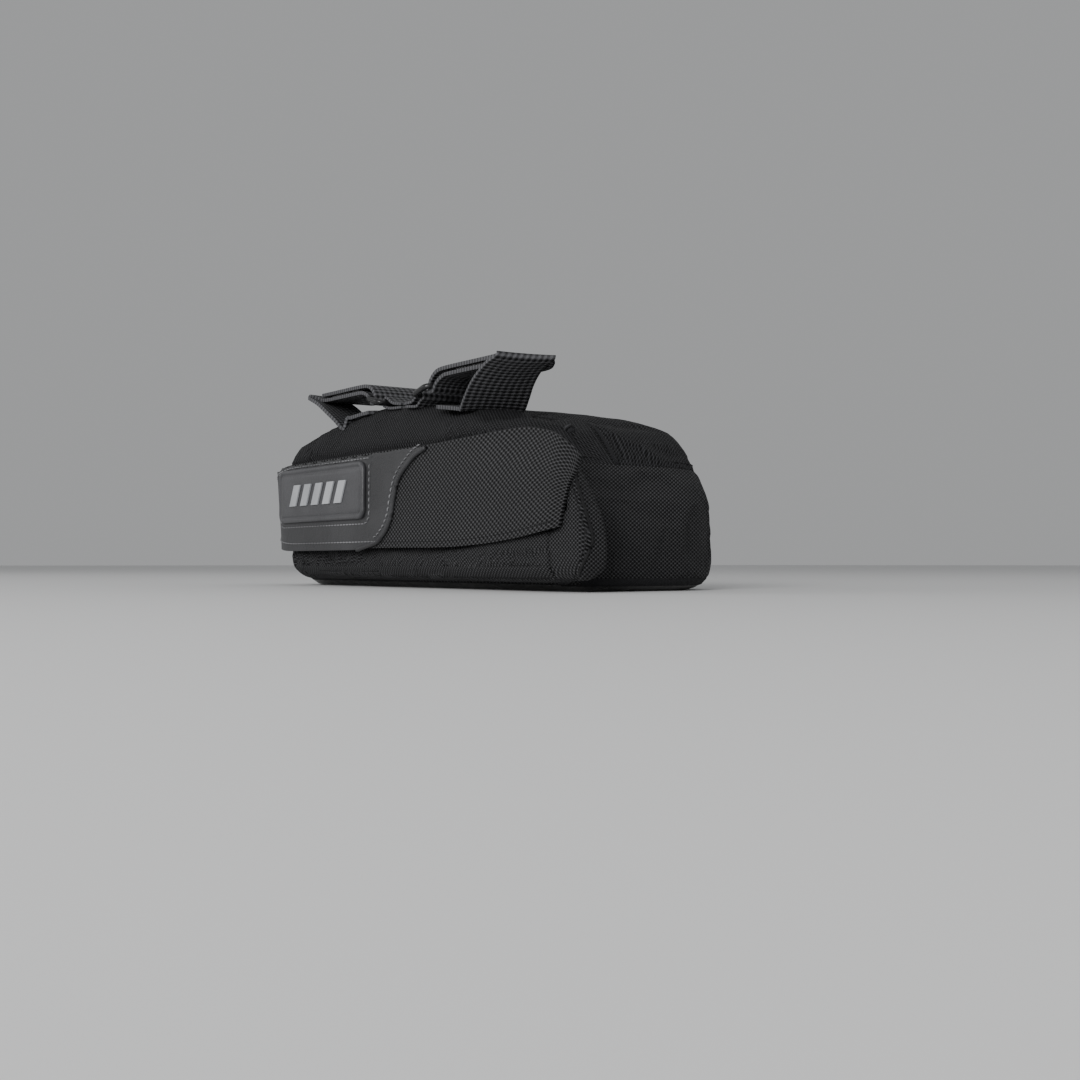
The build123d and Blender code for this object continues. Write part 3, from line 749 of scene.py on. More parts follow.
def build_body():
    shape = panel_form(96, 380)
    held_mesh = bpy.data.meshes.new("form")
    shape.to_mesh(held_mesh)
    form = bpy.data.objects.new("form", held_mesh)
    bpy.context.scene.collection.objects.link(form)
    points = np.array([v.co for v in held_mesh.vertices])
    x, y, z = points.T
    near_seam = (np.abs(z - BOTTOM_SEAM_Z) < 0.0025) | (np.abs(z - LID_SEAM_Z) < 0.0012) & (y > -0.03)
    near_seam |= (np.abs(y - LID_SEAM_Y) < 0.0018) & (z > LID_SEAM_Z)
    rear_recess = (y < -0.030) & (z > 0.019) & (z < 0.071)
    underside = z < BOTTOM_SEAM_Z
    pocket_end = (x > 0.140) & (y < -0.012)
    inflate(form, np.nonzero(near_seam | rear_recess | underside | pocket_end)[0])
    points = np.array([v.co for v in held_mesh.vertices])
    normals = np.array([v.normal for v in held_mesh.vertices])
    x, y, z = points.T
    dents = soft_noise(x, y, z, 0.045, 3.1) * 0.0011 + soft_noise(x, y, z, 0.018, 8.7) * 0.00035
    pleats = np.abs(soft_noise(x * 3.2, y, z * 0.7, 0.016, 21.0))
    low_rear = smooth_step(-0.036, -0.040, y) * smooth_step(0.024, 0.014, z) * smooth_step(0.02, -0.10, x)
    off_fold = smooth_step(0.0015, 0.0045, np.abs(z - MOUTH_LOW[2]))
    creases = -np.maximum(0.0, 0.22 - pleats) * 0.024 * low_rear * off_fold
    on_fold = (y < -0.030) * (1 - 0.8 * off_fold)
    behind_wing = (y < -0.030) & (z > 0.0185) & (z < 0.0715)
    quiet = smooth_step(0.0, 0.010, z) * (1 - on_fold) * np.where(behind_wing, 0.15, 1.0)
    quiet = quiet * (1 - 0.7 * smooth_step(0.135, 0.150, x) * smooth_step(0.0, -0.02, y))
    points = points + normals * ((dents + creases) * quiet)[:, None]
    for vert, p in zip(shape.verts, points):
        vert.co = Vector(p)
    bpy.data.objects.remove(form)
    cut(shape, (0, 0, BOTTOM_SEAM_Z), (0, 0, 1))
    cut(shape, (0, 0, LID_SEAM_Z), (0, 0, 1))
    cut(shape, (0, LID_SEAM_Y, 0), (0, 1, 0))
    cut(shape, (0, 0, MOUTH_LOW[2]), (0, 0, 1))
    cut(shape, (0, 0, MOUTH_LOW[2] - FOLD_GAP), (0, 0, 1))
    for seam_x in (-FRONT_SEAM_X, FRONT_SEAM_X, LEFT_REAR_SEAM_X):
        cut(shape, (seam_x, 0, 0), (1, 0, 0))
    for point, normal in corner_planes():
        cut(shape, point, normal)
    # The shoulder and lid panels take the darker cloth, painted shade on the top.
    materials = {"bottom_panel": COATED, "shoulder_panel": TOP_CLOTH_PAINTED_SHADE, "lid_panel": TOP_CLOTH_PAINTED_SHADE}
    names = ("bottom_panel", "shoulder_panel", "lid_panel", "front_wall", "rear_wall", "mouth_flap",
             "right_gusset", "left_gusset")
    pieces = split_panels(shape, names, "cloth", lambda name: materials.get(name, BODY_CLOTH), WALL)
    shape.free()
    for name, piece in pieces.items():
        slot = "coated_underside" if name == "bottom_panel" else "woven_nylon"
        settle(piece, "mouth" if name == "mouth_flap" else "bag_body", slot, name)
    return pieces


BODY = build_body()


def build_lining():
    shape = panel_form(48, 160, WALL + 0.0012)
    cut(shape, (0, 0, LID_SEAM_Z - 0.004), (0, 0, 1))
    cut(shape, (0, 0, MOUTH_LOW[2]), (0, 0, 1))
    kept = []
    for face in shape.faces:
        x, y, z = face.calc_center_median()
        in_mouth = y < -0.026 and float(mouth_distance(x, z)) < ZIP_GAP + 0.001 and z > MOUTH_LOW[2] - 0.001
        if z <= LID_SEAM_Z - 0.004 and not in_mouth:
            kept.append(face)
    verts, faces = collect(kept)
    for vert in verts:
        if vert.y < -0.026:
            snap_to_mouth(vert, ZIP_GAP + 0.001)
    piece = make_piece("inner_lining", verts, faces, LINING_CLOTH, [(v.x + v.y, v.z) for v in verts])
    thicken(piece, 0.0008)
    shape.free()
    return settle(piece, "bag_body", "lining_cloth", "lining")


build_lining()


# ---- seams on the body ----------------------------------------------------------------------------
def lid_piping():
    angles = np.linspace(0.0, math.pi, 140)
    start = np.zeros((len(angles), 3)) + np.array([0.0, LID_SEAM_Y, LID_SEAM_Z])
    ahead = np.stack([np.cos(angles), 0 * angles, np.sin(angles)], axis=1)
    points = resample(solve_outward(start, ahead, reach=0.17), 0.003)
    return settle(tube("lid_seam_piping", points, 0.0010, BINDING, sides=12), "bag_body", "edge_binding", "lid_piping")


def bottom_binding():
    """A ribbed tape round the foot of the side and front walls."""
    angles = np.linspace(math.radians(-21), math.radians(201), 220)
    rows = []
    for z, rise in ((0.0024, 0.0002), (0.0028, 0.0008), (0.0054, 0.0009), (0.0060, 0.0002)):
        ring = []
        for a in angles:
            far = Vector((0.2 * math.cos(a), 0.2 * math.sin(a), 0))
            spine_x = np.clip(far.x, *SPINE_X)
            start = np.array([[spine_x, spine_y(spine_x), z]])
            ahead = np.array([[far.x - spine_x, far.y, 0.0]])
            ahead /= np.linalg.norm(ahead)
            ring.append(solve_outward(start, ahead)[0] + ahead[0] * rise)
        rows.append(ring)
    piece = grid_piece("foot_binding", np.array(rows), BINDING)
    return settle(piece, "bag_body", "edge_binding", "bottom_binding")


def rear_seam():
    """The sewn seam at the right rear corner, bowing out from the wing's foot to the pocket's widest point."""
    dense = resample(CORNER_SEAM, 0.0015)
    for _ in range(6):
        dense[1:-1] = (dense[:-2] + dense[1:-1] * 2 + dense[2:]) / 4
    # The near-black cord in the seam is painted shade standing for the seam's dark groove.
    cord = tube("rear_seam_cord", [corner_point(p, 0.0001) for p in dense], 0.0006, DARK_THREAD_AND_SEAM_SHADE, sides=8)
    settle(cord, "bag_body", "woven_nylon", "wing_anchor")
    beside = [corner_point(p + np.array([-0.0016, -0.0016, 0]), 0.0002) for p in dense]
    size = (0.0022, 0.0012, 0.00028)
    sew("rear_seam_stitching", [beside], form_outward, DARK_THREAD_AND_SEAM_SHADE, size, "bag_body", "woven_nylon")


def panel_stitching():
    """Stitches on both sides of the lid's cross seam, and one row above the walls' upper seam."""
    size = (0.003, 0.0014, 0.0003)
    rows = []
    for y in (LID_SEAM_Y - 0.0038, LID_SEAM_Y + 0.0038):
        rows.append([top_point(x, y, 0.0001) for x in np.linspace(-0.134, 0.130, 80)])
    sew("lid_stitching", rows, form_outward, DARK_THREAD_AND_SEAM_SHADE, size, "bag_body", "edge_binding")
    row = []
    for a in np.linspace(math.radians(-18), math.radians(198), 200):
        far = (0.2 * math.cos(a), 0.2 * math.sin(a))
        spine_x = np.clip(far[0], *SPINE_X)
        start = np.array([[spine_x, spine_y(spine_x), LID_SEAM_Z + 0.003]])
        ahead = np.array([[far[0] - start[0][0], far[1], 0.0]])
        row.append(solve_outward(start, ahead / np.linalg.norm(ahead))[0])
    sew("wall_stitching", [row], form_outward, DARK_THREAD_AND_SEAM_SHADE, size, "bag_body", "edge_binding")


lid_piping()
bottom_binding()
rear_seam()
panel_stitching()


# ---- zip ------------------------------------------------------------------------------------------
def mouth_path(grow, step=0.002):
    """Points (x, z) along the mouth outline grown by grow, from its right foot over the top to its left foot."""
    left, right = MOUTH_LOW[0] - grow, MOUTH_HIGH[0] + grow
    top, radius = MOUTH_HIGH[2] + grow, MOUTH_R + grow
    corners = rounded_rectangle((left, MOUTH_LOW[2]), (right, top), radius, 13)[:26]
    return resample([(right, MOUTH_LOW[2]), *corners, (left, MOUTH_LOW[2])], step)


def zip_y(path):
    """The zip's middle in Y. It dips behind the cloth where the edges close over it."""
    hidden = 1 - zip_shown(path[:, 0], path[:, 1])
    return rear_face_y(path[:, 0], path[:, 1]) + WALL / 2 + 0.0032 * hidden


def zip_tape(name, inner, outer, body, node):
    count = len(mouth_path(inner))
    rows = []
    for grow in np.linspace(inner, outer, 4):
        path = resample(mouth_path(grow, 0.001), 0.001)
        path = path[np.linspace(0, len(path) - 1, count).round().astype(int)]
        y = zip_y(path)
        rows.append(np.stack([path[:, 0], y, path[:, 1]], axis=1))
    piece = grid_piece(name, np.array(rows), ZIP_TAPE, thickness=0.0009, offset=0.0)
    return settle(piece, body, "zip_tape", node)


COIL_RINGS = ((-0.0010, 0.55), (-0.0006, 0.9), (0.0004, 1.0), (0.0009, 0.8), (0.0011, 0.4))
COIL_SIDES = 8
COIL_HALF_WIDTH = 0.00055
COIL_HALF_DEPTH = 0.0012


def zip_coil(name, grow, lean, body, node):
    """A row of moulded loops that lean towards the other row."""
    path = mouth_path(grow, 0.0016)
    y = zip_y(path)
    verts, faces = [], []
    for i in range(len(path) - 1):
        along = Vector((path[i + 1][0] - path[i][0], 0, path[i + 1][1] - path[i][1])).normalized()
        across = Vector((along.z, 0, -along.x)) * lean
        middle_x, middle_z = (path[i] + path[i + 1]) / 2
        centre = Vector((middle_x, (y[i] + y[i + 1]) / 2, middle_z))
        base = len(verts)
        for t, fat in COIL_RINGS:
            for k in range(COIL_SIDES):
                a = math.tau * k / COIL_SIDES
                spoke = along * math.cos(a) * COIL_HALF_WIDTH + Vector((0, math.sin(a) * COIL_HALF_DEPTH, 0))
                verts.append(centre + across * t + spoke * fat)
        faces += capped_faces(base, len(COIL_RINGS), COIL_SIDES)
    return settle(make_piece(name, verts, faces, COIL), body, "zip_coil", node)


zip_tape("zip_tape_inner_half", 0.0002, 0.0026, "mouth", "zip_tape_lower")
zip_tape("zip_tape_outer_half", 0.0064, 0.0092, "bag_body", "zip_tape_upper")
zip_coil("zip_teeth_inner", 0.0031, 1.0, "mouth", "zip_coil_lower")
zip_coil("zip_teeth_outer", 0.0058, -1.0, "bag_body", "zip_coil_upper")


def rearwards(p):
    return Vector((0, -1, 0))


def zip_stitching():
    inset = 0.0025
    rows = (("mouth_edge_stitching", -inset, "mouth"), ("opening_edge_stitching", ZIP_GAP + inset, "bag_body"))
    for name, grow, body in rows:
        path = mouth_path(grow, 0.0015)
        path = path[path[:, 1] > 0.031]
        line = np.stack([path[:, 0], rear_face_y(path[:, 0], path[:, 1]), path[:, 1]], axis=1)
        sew(name, [line], rearwards, DARK_THREAD_AND_SEAM_SHADE, (0.0024, 0.0012, 0.0003), body, "woven_nylon")


zip_stitching()


def fold_tape():
    """A soft tape over the mouth flap's hinge fold."""
    xs = np.linspace(MOUTH_LOW[0] - 0.0044, MOUTH_HIGH[0] + 0.0044, 120)
    rows = []
    for z in (0.0058, 0.0068, 0.0078, 0.0085, 0.0092, 0.0102, 0.0112):
        rows.append(np.stack([xs, rear_face_y(xs, np.full_like(xs, z)) - 0.0004, np.full_like(xs, z)], axis=1))
    piece = grid_piece("mouth_fold_tape", np.array(rows), BODY_CLOTH, thickness=0.0006, offset=1.0)
    piece.data.flip_normals()
    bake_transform(piece)
    return piece


fold_tape()


# ---- closing wing ---------------------------------------------------------------------------------
FLAT_LENGTH = WING_ROOT_X - WING_TURN[0]
BEND_R = WING_TURN[1] - WING_Y
TIP_S = FLAT_LENGTH + (BEND_R + 0.002) * WING_TURN_ANGLE
WING_BOTTOM = [(0.0, 0.0300), (0.009, 0.0285), (0.017, 0.0272), (0.036, 0.0246), (0.062, 0.0222),
               (0.092, 0.0208), (0.15, 0.0208), (TIP_S, 0.0212)]
WING_TOP = [(0.0, 0.0580), (0.004, 0.0622), (0.010, 0.0664), (0.018, 0.0698), (0.028, 0.0722), (0.040, 0.0735),
            (0.055, 0.0732), (0.08, 0.0722), (0.11, 0.0714), (0.16, 0.0712), (0.24, 0.0708), (TIP_S, 0.0700)]
TIP_CURVE = (0.050, 0.0165)
LEATHER_EDGE = [(0.0195, -0.0340), (0.0216, -0.0230), (0.0240, -0.0085), (0.0276, -0.0010), (0.0355, 0.0070),
                (0.0460, 0.0110), (0.0570, 0.0170), (0.0630, 0.0250), (0.0680, 0.0345), (0.0705, 0.0430)]


def wing_point(s, z, distance):
    """A point on the wing, s along it from its sewn root and distance out from its inner face."""
    near_root = 1 - float(smooth_step(0.02, 0.09, s))
    swell = 0.0009 * math.sin(math.pi * min(max((z - 0.021) / 0.049, 0), 1)) * min(s / 0.03, 1.0)
    wave = 0.0006 * noise.noise(Vector((s * 22, z * 30, 4.2))) + 0.0003 * noise.noise(Vector((s * 70, z * 60, 9.1)))
    stiff = float(smooth_step(0.11, 0.165, s))
    out = distance + (swell + wave * min(s / 0.02, 1.0)) * (1 - 0.9 * stiff)
    out -= near_root * 0.0042 * float(smooth_step(0.052, 0.074, z))
    end = s - wing_start(z)
    out -= 0.0013 * (1 - float(smooth_step(0.0, 0.007, end)))
    out -= 0.0035 * (1 - float(smooth_step(0.0, 0.012, end))) * float(smooth_step(0.046, 0.062, z))
    turn_x = WING_TURN[0] + wing_hug(z)
    flat = WING_ROOT_X - turn_x
    if s <= flat:
        return Vector((WING_ROOT_X - s, WING_Y - out, z))
    a = (s - flat) / (BEND_R + 0.002)
    return Vector((turn_x - (BEND_R + out) * math.sin(a), WING_TURN[1] - (BEND_R + out) * math.cos(a), z))


def wing_start(z):
    """How far from the sewn root's line the wing's right edge lies at this height."""
    return 0.0095 * min(1.0, max(0.0, (0.053 - z) / 0.0245))


def wing_hug(z):
    """How much sooner than at its top the wing starts to turn round the corner at this height."""
    return 0.0100 - 0.0055 * float(smooth_step(0.020, 0.070, z))


def wing_outward(p):
    turn_x = WING_TURN[0] + wing_hug(p.z)
    if p.x > turn_x:
        return Vector((0, -1, 0))
    return Vector((p.x - turn_x, p.y - WING_TURN[1], 0)).normalized()


def corner_cut(distance):
    """How far the tip's long rounded corners have taken the edge in, this far before the tip."""
    length, height = TIP_CURVE
    into = min(max(1 - distance / length, 0.0), 1.0)
    return height * (1 - math.sqrt(1 - into**2))


def wing_edges(s):
    bottom = float(smooth_curve(s, WING_BOTTOM)) + corner_cut(TIP_S - s)
    top = float(smooth_curve(s, WING_TOP)) - corner_cut(TIP_S - s)
    return bottom, top


def wing_cloth(name, distance, thickness, trim, material, slot, node):
    """One full layer of the wing."""
    root, tip = 0.006, 0.010
    near_tip = TIP_S - tip * (1 - np.sin(np.linspace(0, math.pi / 2, 9)))[1:]
    stations = np.concatenate([np.linspace(0, root, 5)[:-1], np.linspace(root, TIP_S - tip, 150), near_tip])
    rows = []
    for share in np.linspace(0, 1, 36):
        start = wing_start(0.0285 + share * 0.033) + 2 * trim
        row = []
        for station in stations:
            s = start + station * (TIP_S - start) / TIP_S
            bottom, top = wing_edges(s)
            row.append(wing_point(s, bottom + trim + (top - bottom - 2 * trim) * share, distance))
        rows.append(row)
    piece = grid_piece(name, np.array(rows), material, thickness=thickness, offset=0.0, bevel=thickness * 0.35)
    return settle(piece, "closure_wing", slot, node)


wing_cloth("wing_mesh_cloth", 0.0020, 0.0019, 0.0, WING_CLOTH, "woven_nylon", "wing_panel")
wing_cloth("wing_inner_cloth", 0.0005, 0.0009, 0.0012, LINING_CLOTH, "lining_cloth", "wing_backing")


def leather_edge_x(z):
    return float(smooth_curve(z, LEATHER_EDGE))


def leather_end():
    """The smooth end of the wing, with a hand-cut wavy top edge."""
    rows = []
    for share in np.linspace(0, 1, 46):
        row = []
        for t in np.linspace(0, 1, 130):
            z = 0.0199 + (0.0704 - 0.0199) * share
            start = WING_ROOT_X - leather_edge_x(z)
            s = start + (TIP_S + 0.0006 - start) * (1 - (1 - t) ** 1.3)
            bottom = 0.0199 + corner_cut(TIP_S + 0.0006 - s)
            wavy = 0.0005 * noise.noise(Vector((s * 160, 0, 1.7))) + 0.0004 * math.sin(s * 520) * (s > 0.17)
            top = 0.0701 + wavy - corner_cut(TIP_S + 0.0006 - s) - 0.0006 * (s > 0.17)
            z = bottom + (top - bottom) * share
            pucker = 0.0005 * math.sin(s * 520 + 1.0) * share**8 * (s > 0.17)
            row.append(wing_point(s, z, 0.0038 + pucker))
        rows.append(row)
    piece = grid_piece("leatherette_end", np.array(rows), LEATHER, thickness=0.0014, offset=0.0, bevel=0.0004)
    settle(piece, "closure_wing", "leatherette", "leather_end")


def edge_line(shift, low, high, distance, step=0.0015):
    """The leatherette's curved edge moved sideways by shift, as points on the wing."""
    curve = np.array([(leather_edge_x(z), z) for z in np.linspace(low, high, 160)])
    ahead = np.gradient(curve, axis=0)
    ahead /= np.linalg.norm(ahead, axis=1)[:, None]
    moved = curve + np.stack([-ahead[:, 1], ahead[:, 0]], axis=1) * shift
    moved = resample(moved, step)
    return [wing_point(WING_ROOT_X - x, z, distance) for x, z in moved]


leather_end()
settle(tube("leatherette_edge_roll", edge_line(-0.0006, 0.0206, 0.0702, 0.0039), 0.0012, LEATHER, sides=12),
       "closure_wing", "edge_binding", "leather_edge_cord")

BADGE_LOW, BADGE_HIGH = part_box("badge_plate")


def badge_plate():
    """A moulded plate with a rounded rim and a shallow channel inside it."""
    profile = [(0.0, 0.0), (0.0, 0.0013), (0.0002, 0.0019), (0.0007, 0.0023), (0.0014, 0.0025), (0.0021, 0.0024),
               (0.0025, 0.0018), (0.0031, 0.0017), (0.0036, 0.0021), (0.0043, 0.00245), (0.006, 0.0025), (0.010, 0.0025),
               (0.0145, 0.0025)]
    verts = []
    for inset, height in profile:
        low = (BADGE_LOW[0] + inset, BADGE_LOW[2] + inset)
        high = (BADGE_HIGH[0] - inset, BADGE_HIGH[2] - inset)
        for x, z in rounded_rectangle(low, high, max(0.0052 - inset, 0.0006)):
            verts.append(wing_point(WING_ROOT_X - x, z, 0.0043 + height))
    faces = capped_faces(0, len(profile), len(verts) // len(profile))
    piece = make_piece("badge_rubber_plate", verts, faces, BADGE_RUBBER)
    return settle(piece, "closure_wing", "badge_rubber", "badge_plate")


badge_plate()


LEATHER_STITCH_OUT = 0.00455


def wing_stitching():
    rows = [edge_line(0.0024, 0.0240, 0.0690, LEATHER_STITCH_OUT)]
    end_s = TIP_S - 0.004
    along = end_s - (end_s - WING_ROOT_X - 0.006) * np.linspace(1, 0, 140) ** 1.4
    lower_row = [wing_point(s, 0.0241 + corner_cut(end_s - s), LEATHER_STITCH_OUT) for s in along]
    upper_row = [wing_point(s, 0.0682 - corner_cut(end_s - s), LEATHER_STITCH_OUT) for s in along if s > 0.172]
    rows.append(lower_row + upper_row[::-1])
    frame_low = (BADGE_LOW[0] - 0.0026, BADGE_LOW[2] - 0.0026)
    frame_high = (BADGE_HIGH[0] + 0.0040, BADGE_HIGH[2] + 0.0006)
    ring = rounded_rectangle(frame_low, frame_high, 0.006)
    ring = [p for p in ring if p[1] < frame_high[1] - 0.0005]
    lower = sorted((p for p in ring if p[1] < 0.05), key=lambda p: p[0])
    line = [(frame_low[0], 0.066), *lower, (frame_high[0], 0.066)]
    rows.append([wing_point(WING_ROOT_X - x, z, LEATHER_STITCH_OUT) for x, z in line])
    size = (0.0023, 0.0012, 0.00042)
    sew("leatherette_stitching", rows, wing_outward, THREAD, size, "closure_wing", "leatherette")
    mesh_rows = [[wing_point(s, wing_edges(s)[0] + 0.0030, 0.00295) for s in np.linspace(0.012, 0.176, 100)]]
    size = (0.0022, 0.0012, 0.00026)
    sew("wing_hem_stitching", mesh_rows, wing_outward, DARK_THREAD_AND_SEAM_SHADE, size, "closure_wing", "woven_nylon")


wing_stitching()


def closure_patches():
    """Hook tape inside the wing's tip and loop tape on the body behind it."""
    heights = np.linspace(0.031, 0.059, 20)
    along = np.linspace(TIP_S - 0.016, TIP_S - 0.004, 14)
    rows = [[wing_point(s, z, -0.0012) for s in along] for z in heights]
    hooks = grid_piece("wing_tip_hooks", np.array(rows), HOOKS, thickness=0.0022, offset=0.0, bevel=0.0004)
    settle(hooks, "closure_wing", "hook_loop", "wing_hook_patch")
    rows = []
    for z in heights:
        row = []
        for a in np.linspace(math.radians(226), math.radians(214), 12):
            start = np.array([[SPINE_X[0], spine_y(SPINE_X[0]), z]])
            ahead = np.array([[math.cos(a), math.sin(a), 0.0]])
            found = solve_outward(start, ahead)[0]
            row.append(found + form_normals(found) * 0.0010)
        rows.append(row)
    loops = grid_piece("body_loop_tape", np.array(rows), HOOKS, thickness=0.0018, offset=0.0, bevel=0.0004)
    settle(loops, "bag_body", "hook_loop", "body_loop_patch")


closure_patches()


# ---- mounting straps ------------------------------------------------------------------------------
STRAP_LOW, STRAP_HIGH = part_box("strap_right")
STRAP_MIDDLE_Y = (STRAP_LOW[1] + STRAP_HIGH[1]) / 2
STRAP_HALF = (STRAP_HIGH[1] - STRAP_LOW[1]) / 2
WEB = 0.0019


def smooth_line(points, per_span=8):
    """A smooth line through rows of numbers, with a few steps between each two."""
    points = np.array(points, dtype=float)
    padded = np.concatenate([[2 * points[0] - points[1]], points, [2 * points[-1] - points[-2]]])
    line = []
    for i in range(1, len(padded) - 2):
        for t in np.arange(per_span) / per_span:
            a, b, c, d = padded[i - 1 : i + 3]
            curve = (2 * a - 5 * b + 4 * c - d) * t**2 + (3 * b - a - 3 * c + d) * t**3
            line.append(0.5 * (2 * b + (c - a) * t + curve))
    line.append(points[-1])
    return np.array(line)


def ribbon(name, stations, material, thickness):
    """Webbing through stations of (x, z, middle y, half width, turn, cup)."""
    line = smooth_line(stations)
    rows = []
    for x, z, y, half, turn, cup in line:
        row = []
        for t in np.linspace(-1, 1, 17):
            edge = 1 - 0.02 * abs(t) ** 8
            reach = half * t
            row.append((x + reach * math.sin(turn) * edge, y + reach * math.cos(turn) * edge, z + cup * (t * t - 0.4)))
        rows.append(row)
    return grid_piece(name, np.array(rows), material, thickness=thickness, offset=0.0, bevel=0.0004)


STRAP_RETURN = [
    (0.0890, 0.1068), (0.0700, 0.1066), (0.0500, 0.1066), (0.0420, 0.1062), (0.0365, 0.1040), (0.0337, 0.1018),
    (0.0328, 0.1002), (0.0310, 0.0994), (0.0290, 0.1003), (0.0283, 0.1022), (0.0295, 0.1048), (0.0330, 0.1078),
    (0.0380, 0.1095), (0.0480, 0.1099), (0.0700, 0.1099), (0.0920, 0.1099),
]


def strap_stations(mirror):
    """The strap's line for the right side. The bag's top decides where its foot lies."""
    def foot(x):
        return top_point(mirror * x, STRAP_MIDDLE_Y)[2] + 0.0016

    middle, half = STRAP_MIDDLE_Y, STRAP_HALF - 0.0002
    return [
        *[(x, foot(x), middle, half, 0.0, -0.0008) for x in (0.036, 0.046, 0.056)],
        (0.0620, foot(0.0620) + 0.0002, middle - 0.001, half, 0.16, -0.0010),
        (0.0665, 0.0885, middle - 0.002, half + 0.0008, 0.30, -0.0008),
        (0.0735, 0.0932, middle - 0.004, half + 0.0006, 0.32, 0.0000),
        (0.0810, 0.0983, middle - 0.006, half, 0.30, 0.0008),
        (0.0885, 0.1028, middle - 0.007, half - 0.0006, 0.27, 0.0012),
        (0.0955, 0.1060, middle - 0.0075, half - 0.0008, 0.24, 0.0012),
        (0.1000, 0.1078, middle - 0.0070, half - 0.0008, 0.22, 0.0008),
        (0.1010, 0.1092, middle - 0.006, half - 0.0006, 0.20, 0.0004),
        (0.0990, 0.1096, middle - 0.005, half - 0.0004, 0.14, 0.0002),
        (0.0955, 0.1084, middle - 0.002, half, 0.06, 0.0),
        *[(x, z, middle, half, 0.0, 0.0) for x, z in STRAP_RETURN],
    ]


def tab_stations(mirror):
    def foot(x, rise):
        return top_point(mirror * x, STRAP_MIDDLE_Y)[2] + rise

    middle, half = STRAP_MIDDLE_Y, STRAP_HALF - 0.0012
    flat = (middle, half, 0.0, 0.0)
    return [
        (0.0026, foot(0.0026, 0.0010), *flat),
        (0.0080, foot(0.0080, 0.0010), *flat),
        (0.0140, foot(0.0140, 0.0012), *flat),
        (0.0180, 0.0961, *flat),
        (0.0207, 0.0972, *flat),
        (0.0210, 0.0992, *flat),
        (0.0192, 0.1011, *flat),
        (0.0164, 0.1005, *flat),
        (0.0130, 0.0985, *flat),
        (0.0090, foot(0.0090, 0.0034), *flat),
        (0.0026, foot(0.0026, 0.0028), *flat),
    ]


TAB_THICKNESS = 0.0015
TAB_NARROWER = 0.002


def upwards(p):
    return Vector((0, 0, 1))


def mounting_strap(side):
    mirror = 1 if side == "right" else -1
    pieces = []
    bands = (
        ("webbing_strap", "strap", strap_stations(mirror), WEB, 2 * STRAP_HALF),
        ("webbing_tab", "ring_tab", tab_stations(mirror), TAB_THICKNESS, 2 * STRAP_HALF - TAB_NARROWER),
    )
    for name, node, stations, thickness, width in bands:
        piece = ribbon(f"{name}_{side}", stations, WEBBING, thickness)
        pieces.append((piece, "webbing", f"{node}_{side}"))
    patches = (("strap_loop_patch", 0.049, 0.0885, 0.10785), ("strap_hook_patch", 0.051, 0.083, 0.10855))
    for node, low_x, high_x, z in patches:
        xs = np.linspace(low_x, high_x, 30)
        ys = np.linspace(STRAP_LOW[1] + 0.003, STRAP_HIGH[1] - 0.003, 20)
        grid = np.array([[(x, y, z) for x in xs] for y in ys])
        piece = grid_piece(f"{node.replace('_patch', '')}_tape_{side}", grid, HOOKS, thickness=0.00065, offset=0.0)
        pieces.append((piece, "hook_loop", f"{node}_{side}"))
    low_y, high_y = STRAP_LOW[1] + 0.004, STRAP_HIGH[1] - 0.004
    box_stitch = []
    for a, b in ((low_y, low_y), (high_y, high_y), (low_y, high_y), (high_y, low_y)):
        row = []
        for t in np.linspace(0, 1, 20):
            x, y = 0.040 + 0.020 * t, a + (b - a) * t
            row.append((x, y, top_point(mirror * x, y)[2] + 0.0024))
        box_stitch.append(row)
    thread = stitches(f"strap_stitching_{side}", box_stitch, upwards, DARK_THREAD_AND_SEAM_SHADE, 0.0026, 0.0012, 0.00036)
    pieces.append((thread, "webbing", None))
    for piece, slot, node in pieces:
        if mirror < 0:
            for vert in piece.data.vertices:
                vert.co.x = -vert.co.x
            piece.data.flip_normals()
        settle(piece, "bag_body", slot, *([node] if node else []))


mounting_strap("right")
mounting_strap("left")

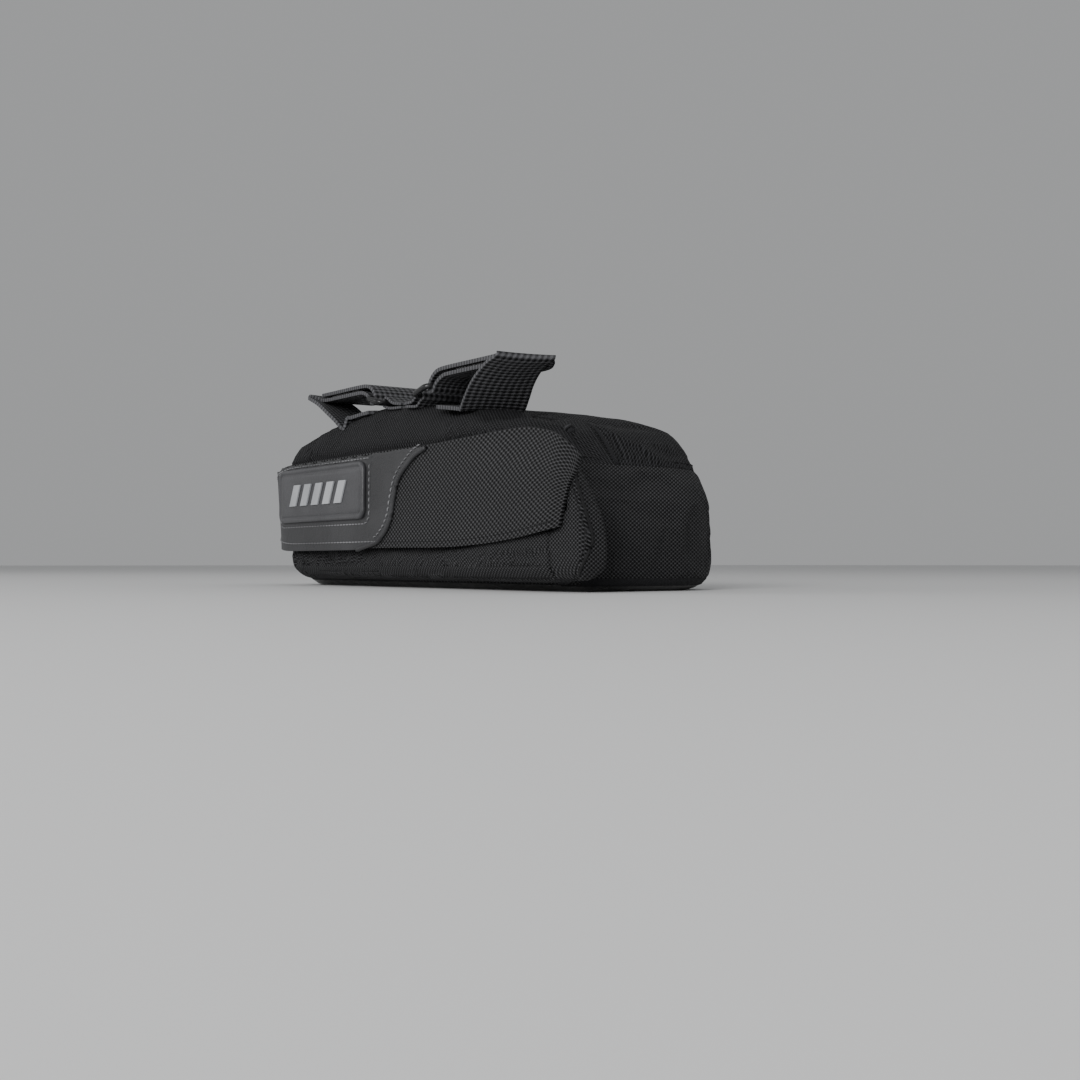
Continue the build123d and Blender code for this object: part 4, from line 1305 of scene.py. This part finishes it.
# ---- carried-over CAD nodes -----------------------------------------------------------------------
KEPT = {
    "badge_motif": MARK,
    "strap_ring_right": BLACK_METAL,
    "strap_ring_left": BLACK_METAL,
    "zip_slider": BLACK_METAL,
    "puller_link": BLACK_METAL,
    "puller_grip": GRIP_RUBBER,
    "base_board": BOARD,
}
for node, material in KEPT.items():
    for slot in bpy.data.objects[node].material_slots:
        slot.material = material

# ---- floor, light and camera ----------------------------------------------------------------------
def stage_floor():
    bpy.ops.mesh.primitive_plane_add(size=16.0, location=(-2.0, 2.0, 0.0))
    floor = bpy.context.object
    floor.name = "floor"
    floor.data.materials.append(Shader("pale_floor", 0.8, specular=0.2).finish((0.74, 0.74, 0.74)))


def area_light(name, place, target, size, power):
    light = bpy.data.lights.new(name, "AREA")
    light.shape = "RECTANGLE"
    light.size, light.size_y = size
    light.energy = power
    lamp = bpy.data.objects.new(name, light)
    lamp.location = place
    lamp.rotation_euler = (Vector(target) - Vector(place)).to_track_quat("-Z", "Y").to_euler()
    bpy.context.scene.collection.objects.link(lamp)


stage_floor()
world = bpy.data.worlds.new("studio")
world.use_nodes = True
world.node_tree.nodes["Background"].inputs["Color"].default_value = (0.86, 0.87, 0.88, 1.0)
world.node_tree.nodes["Background"].inputs["Strength"].default_value = 0.42
bpy.context.scene.world = world
area_light("key", (-0.75, -1.15, 0.60), (0, -0.04, 0.05), (1.2, 0.8), 4.0)
area_light("fill", (0.90, -1.25, 0.55), (0.05, 0, 0.05), (0.8, 0.7), 16)
area_light("overhead", (0.1, 0.3, 1.5), (0, 0, 0.05), (1.2, 1.2), 1.5)

CAMERA_PLACE = (0.606, -0.380, 0.0125)
CAMERA_TURN = math.radians(54.46)
CAMERA_TILT = math.radians(91.03)
camera_data = bpy.data.cameras.new("camera")
camera_data.lens = 44.3
camera_data.sensor_width = 36.0
camera_data.clip_start = 0.02
camera = bpy.data.objects.new("camera", camera_data)
camera.location = CAMERA_PLACE
camera.rotation_euler = (CAMERA_TILT, 0, CAMERA_TURN)
bpy.context.scene.collection.objects.link(camera)
bpy.context.scene.camera = camera
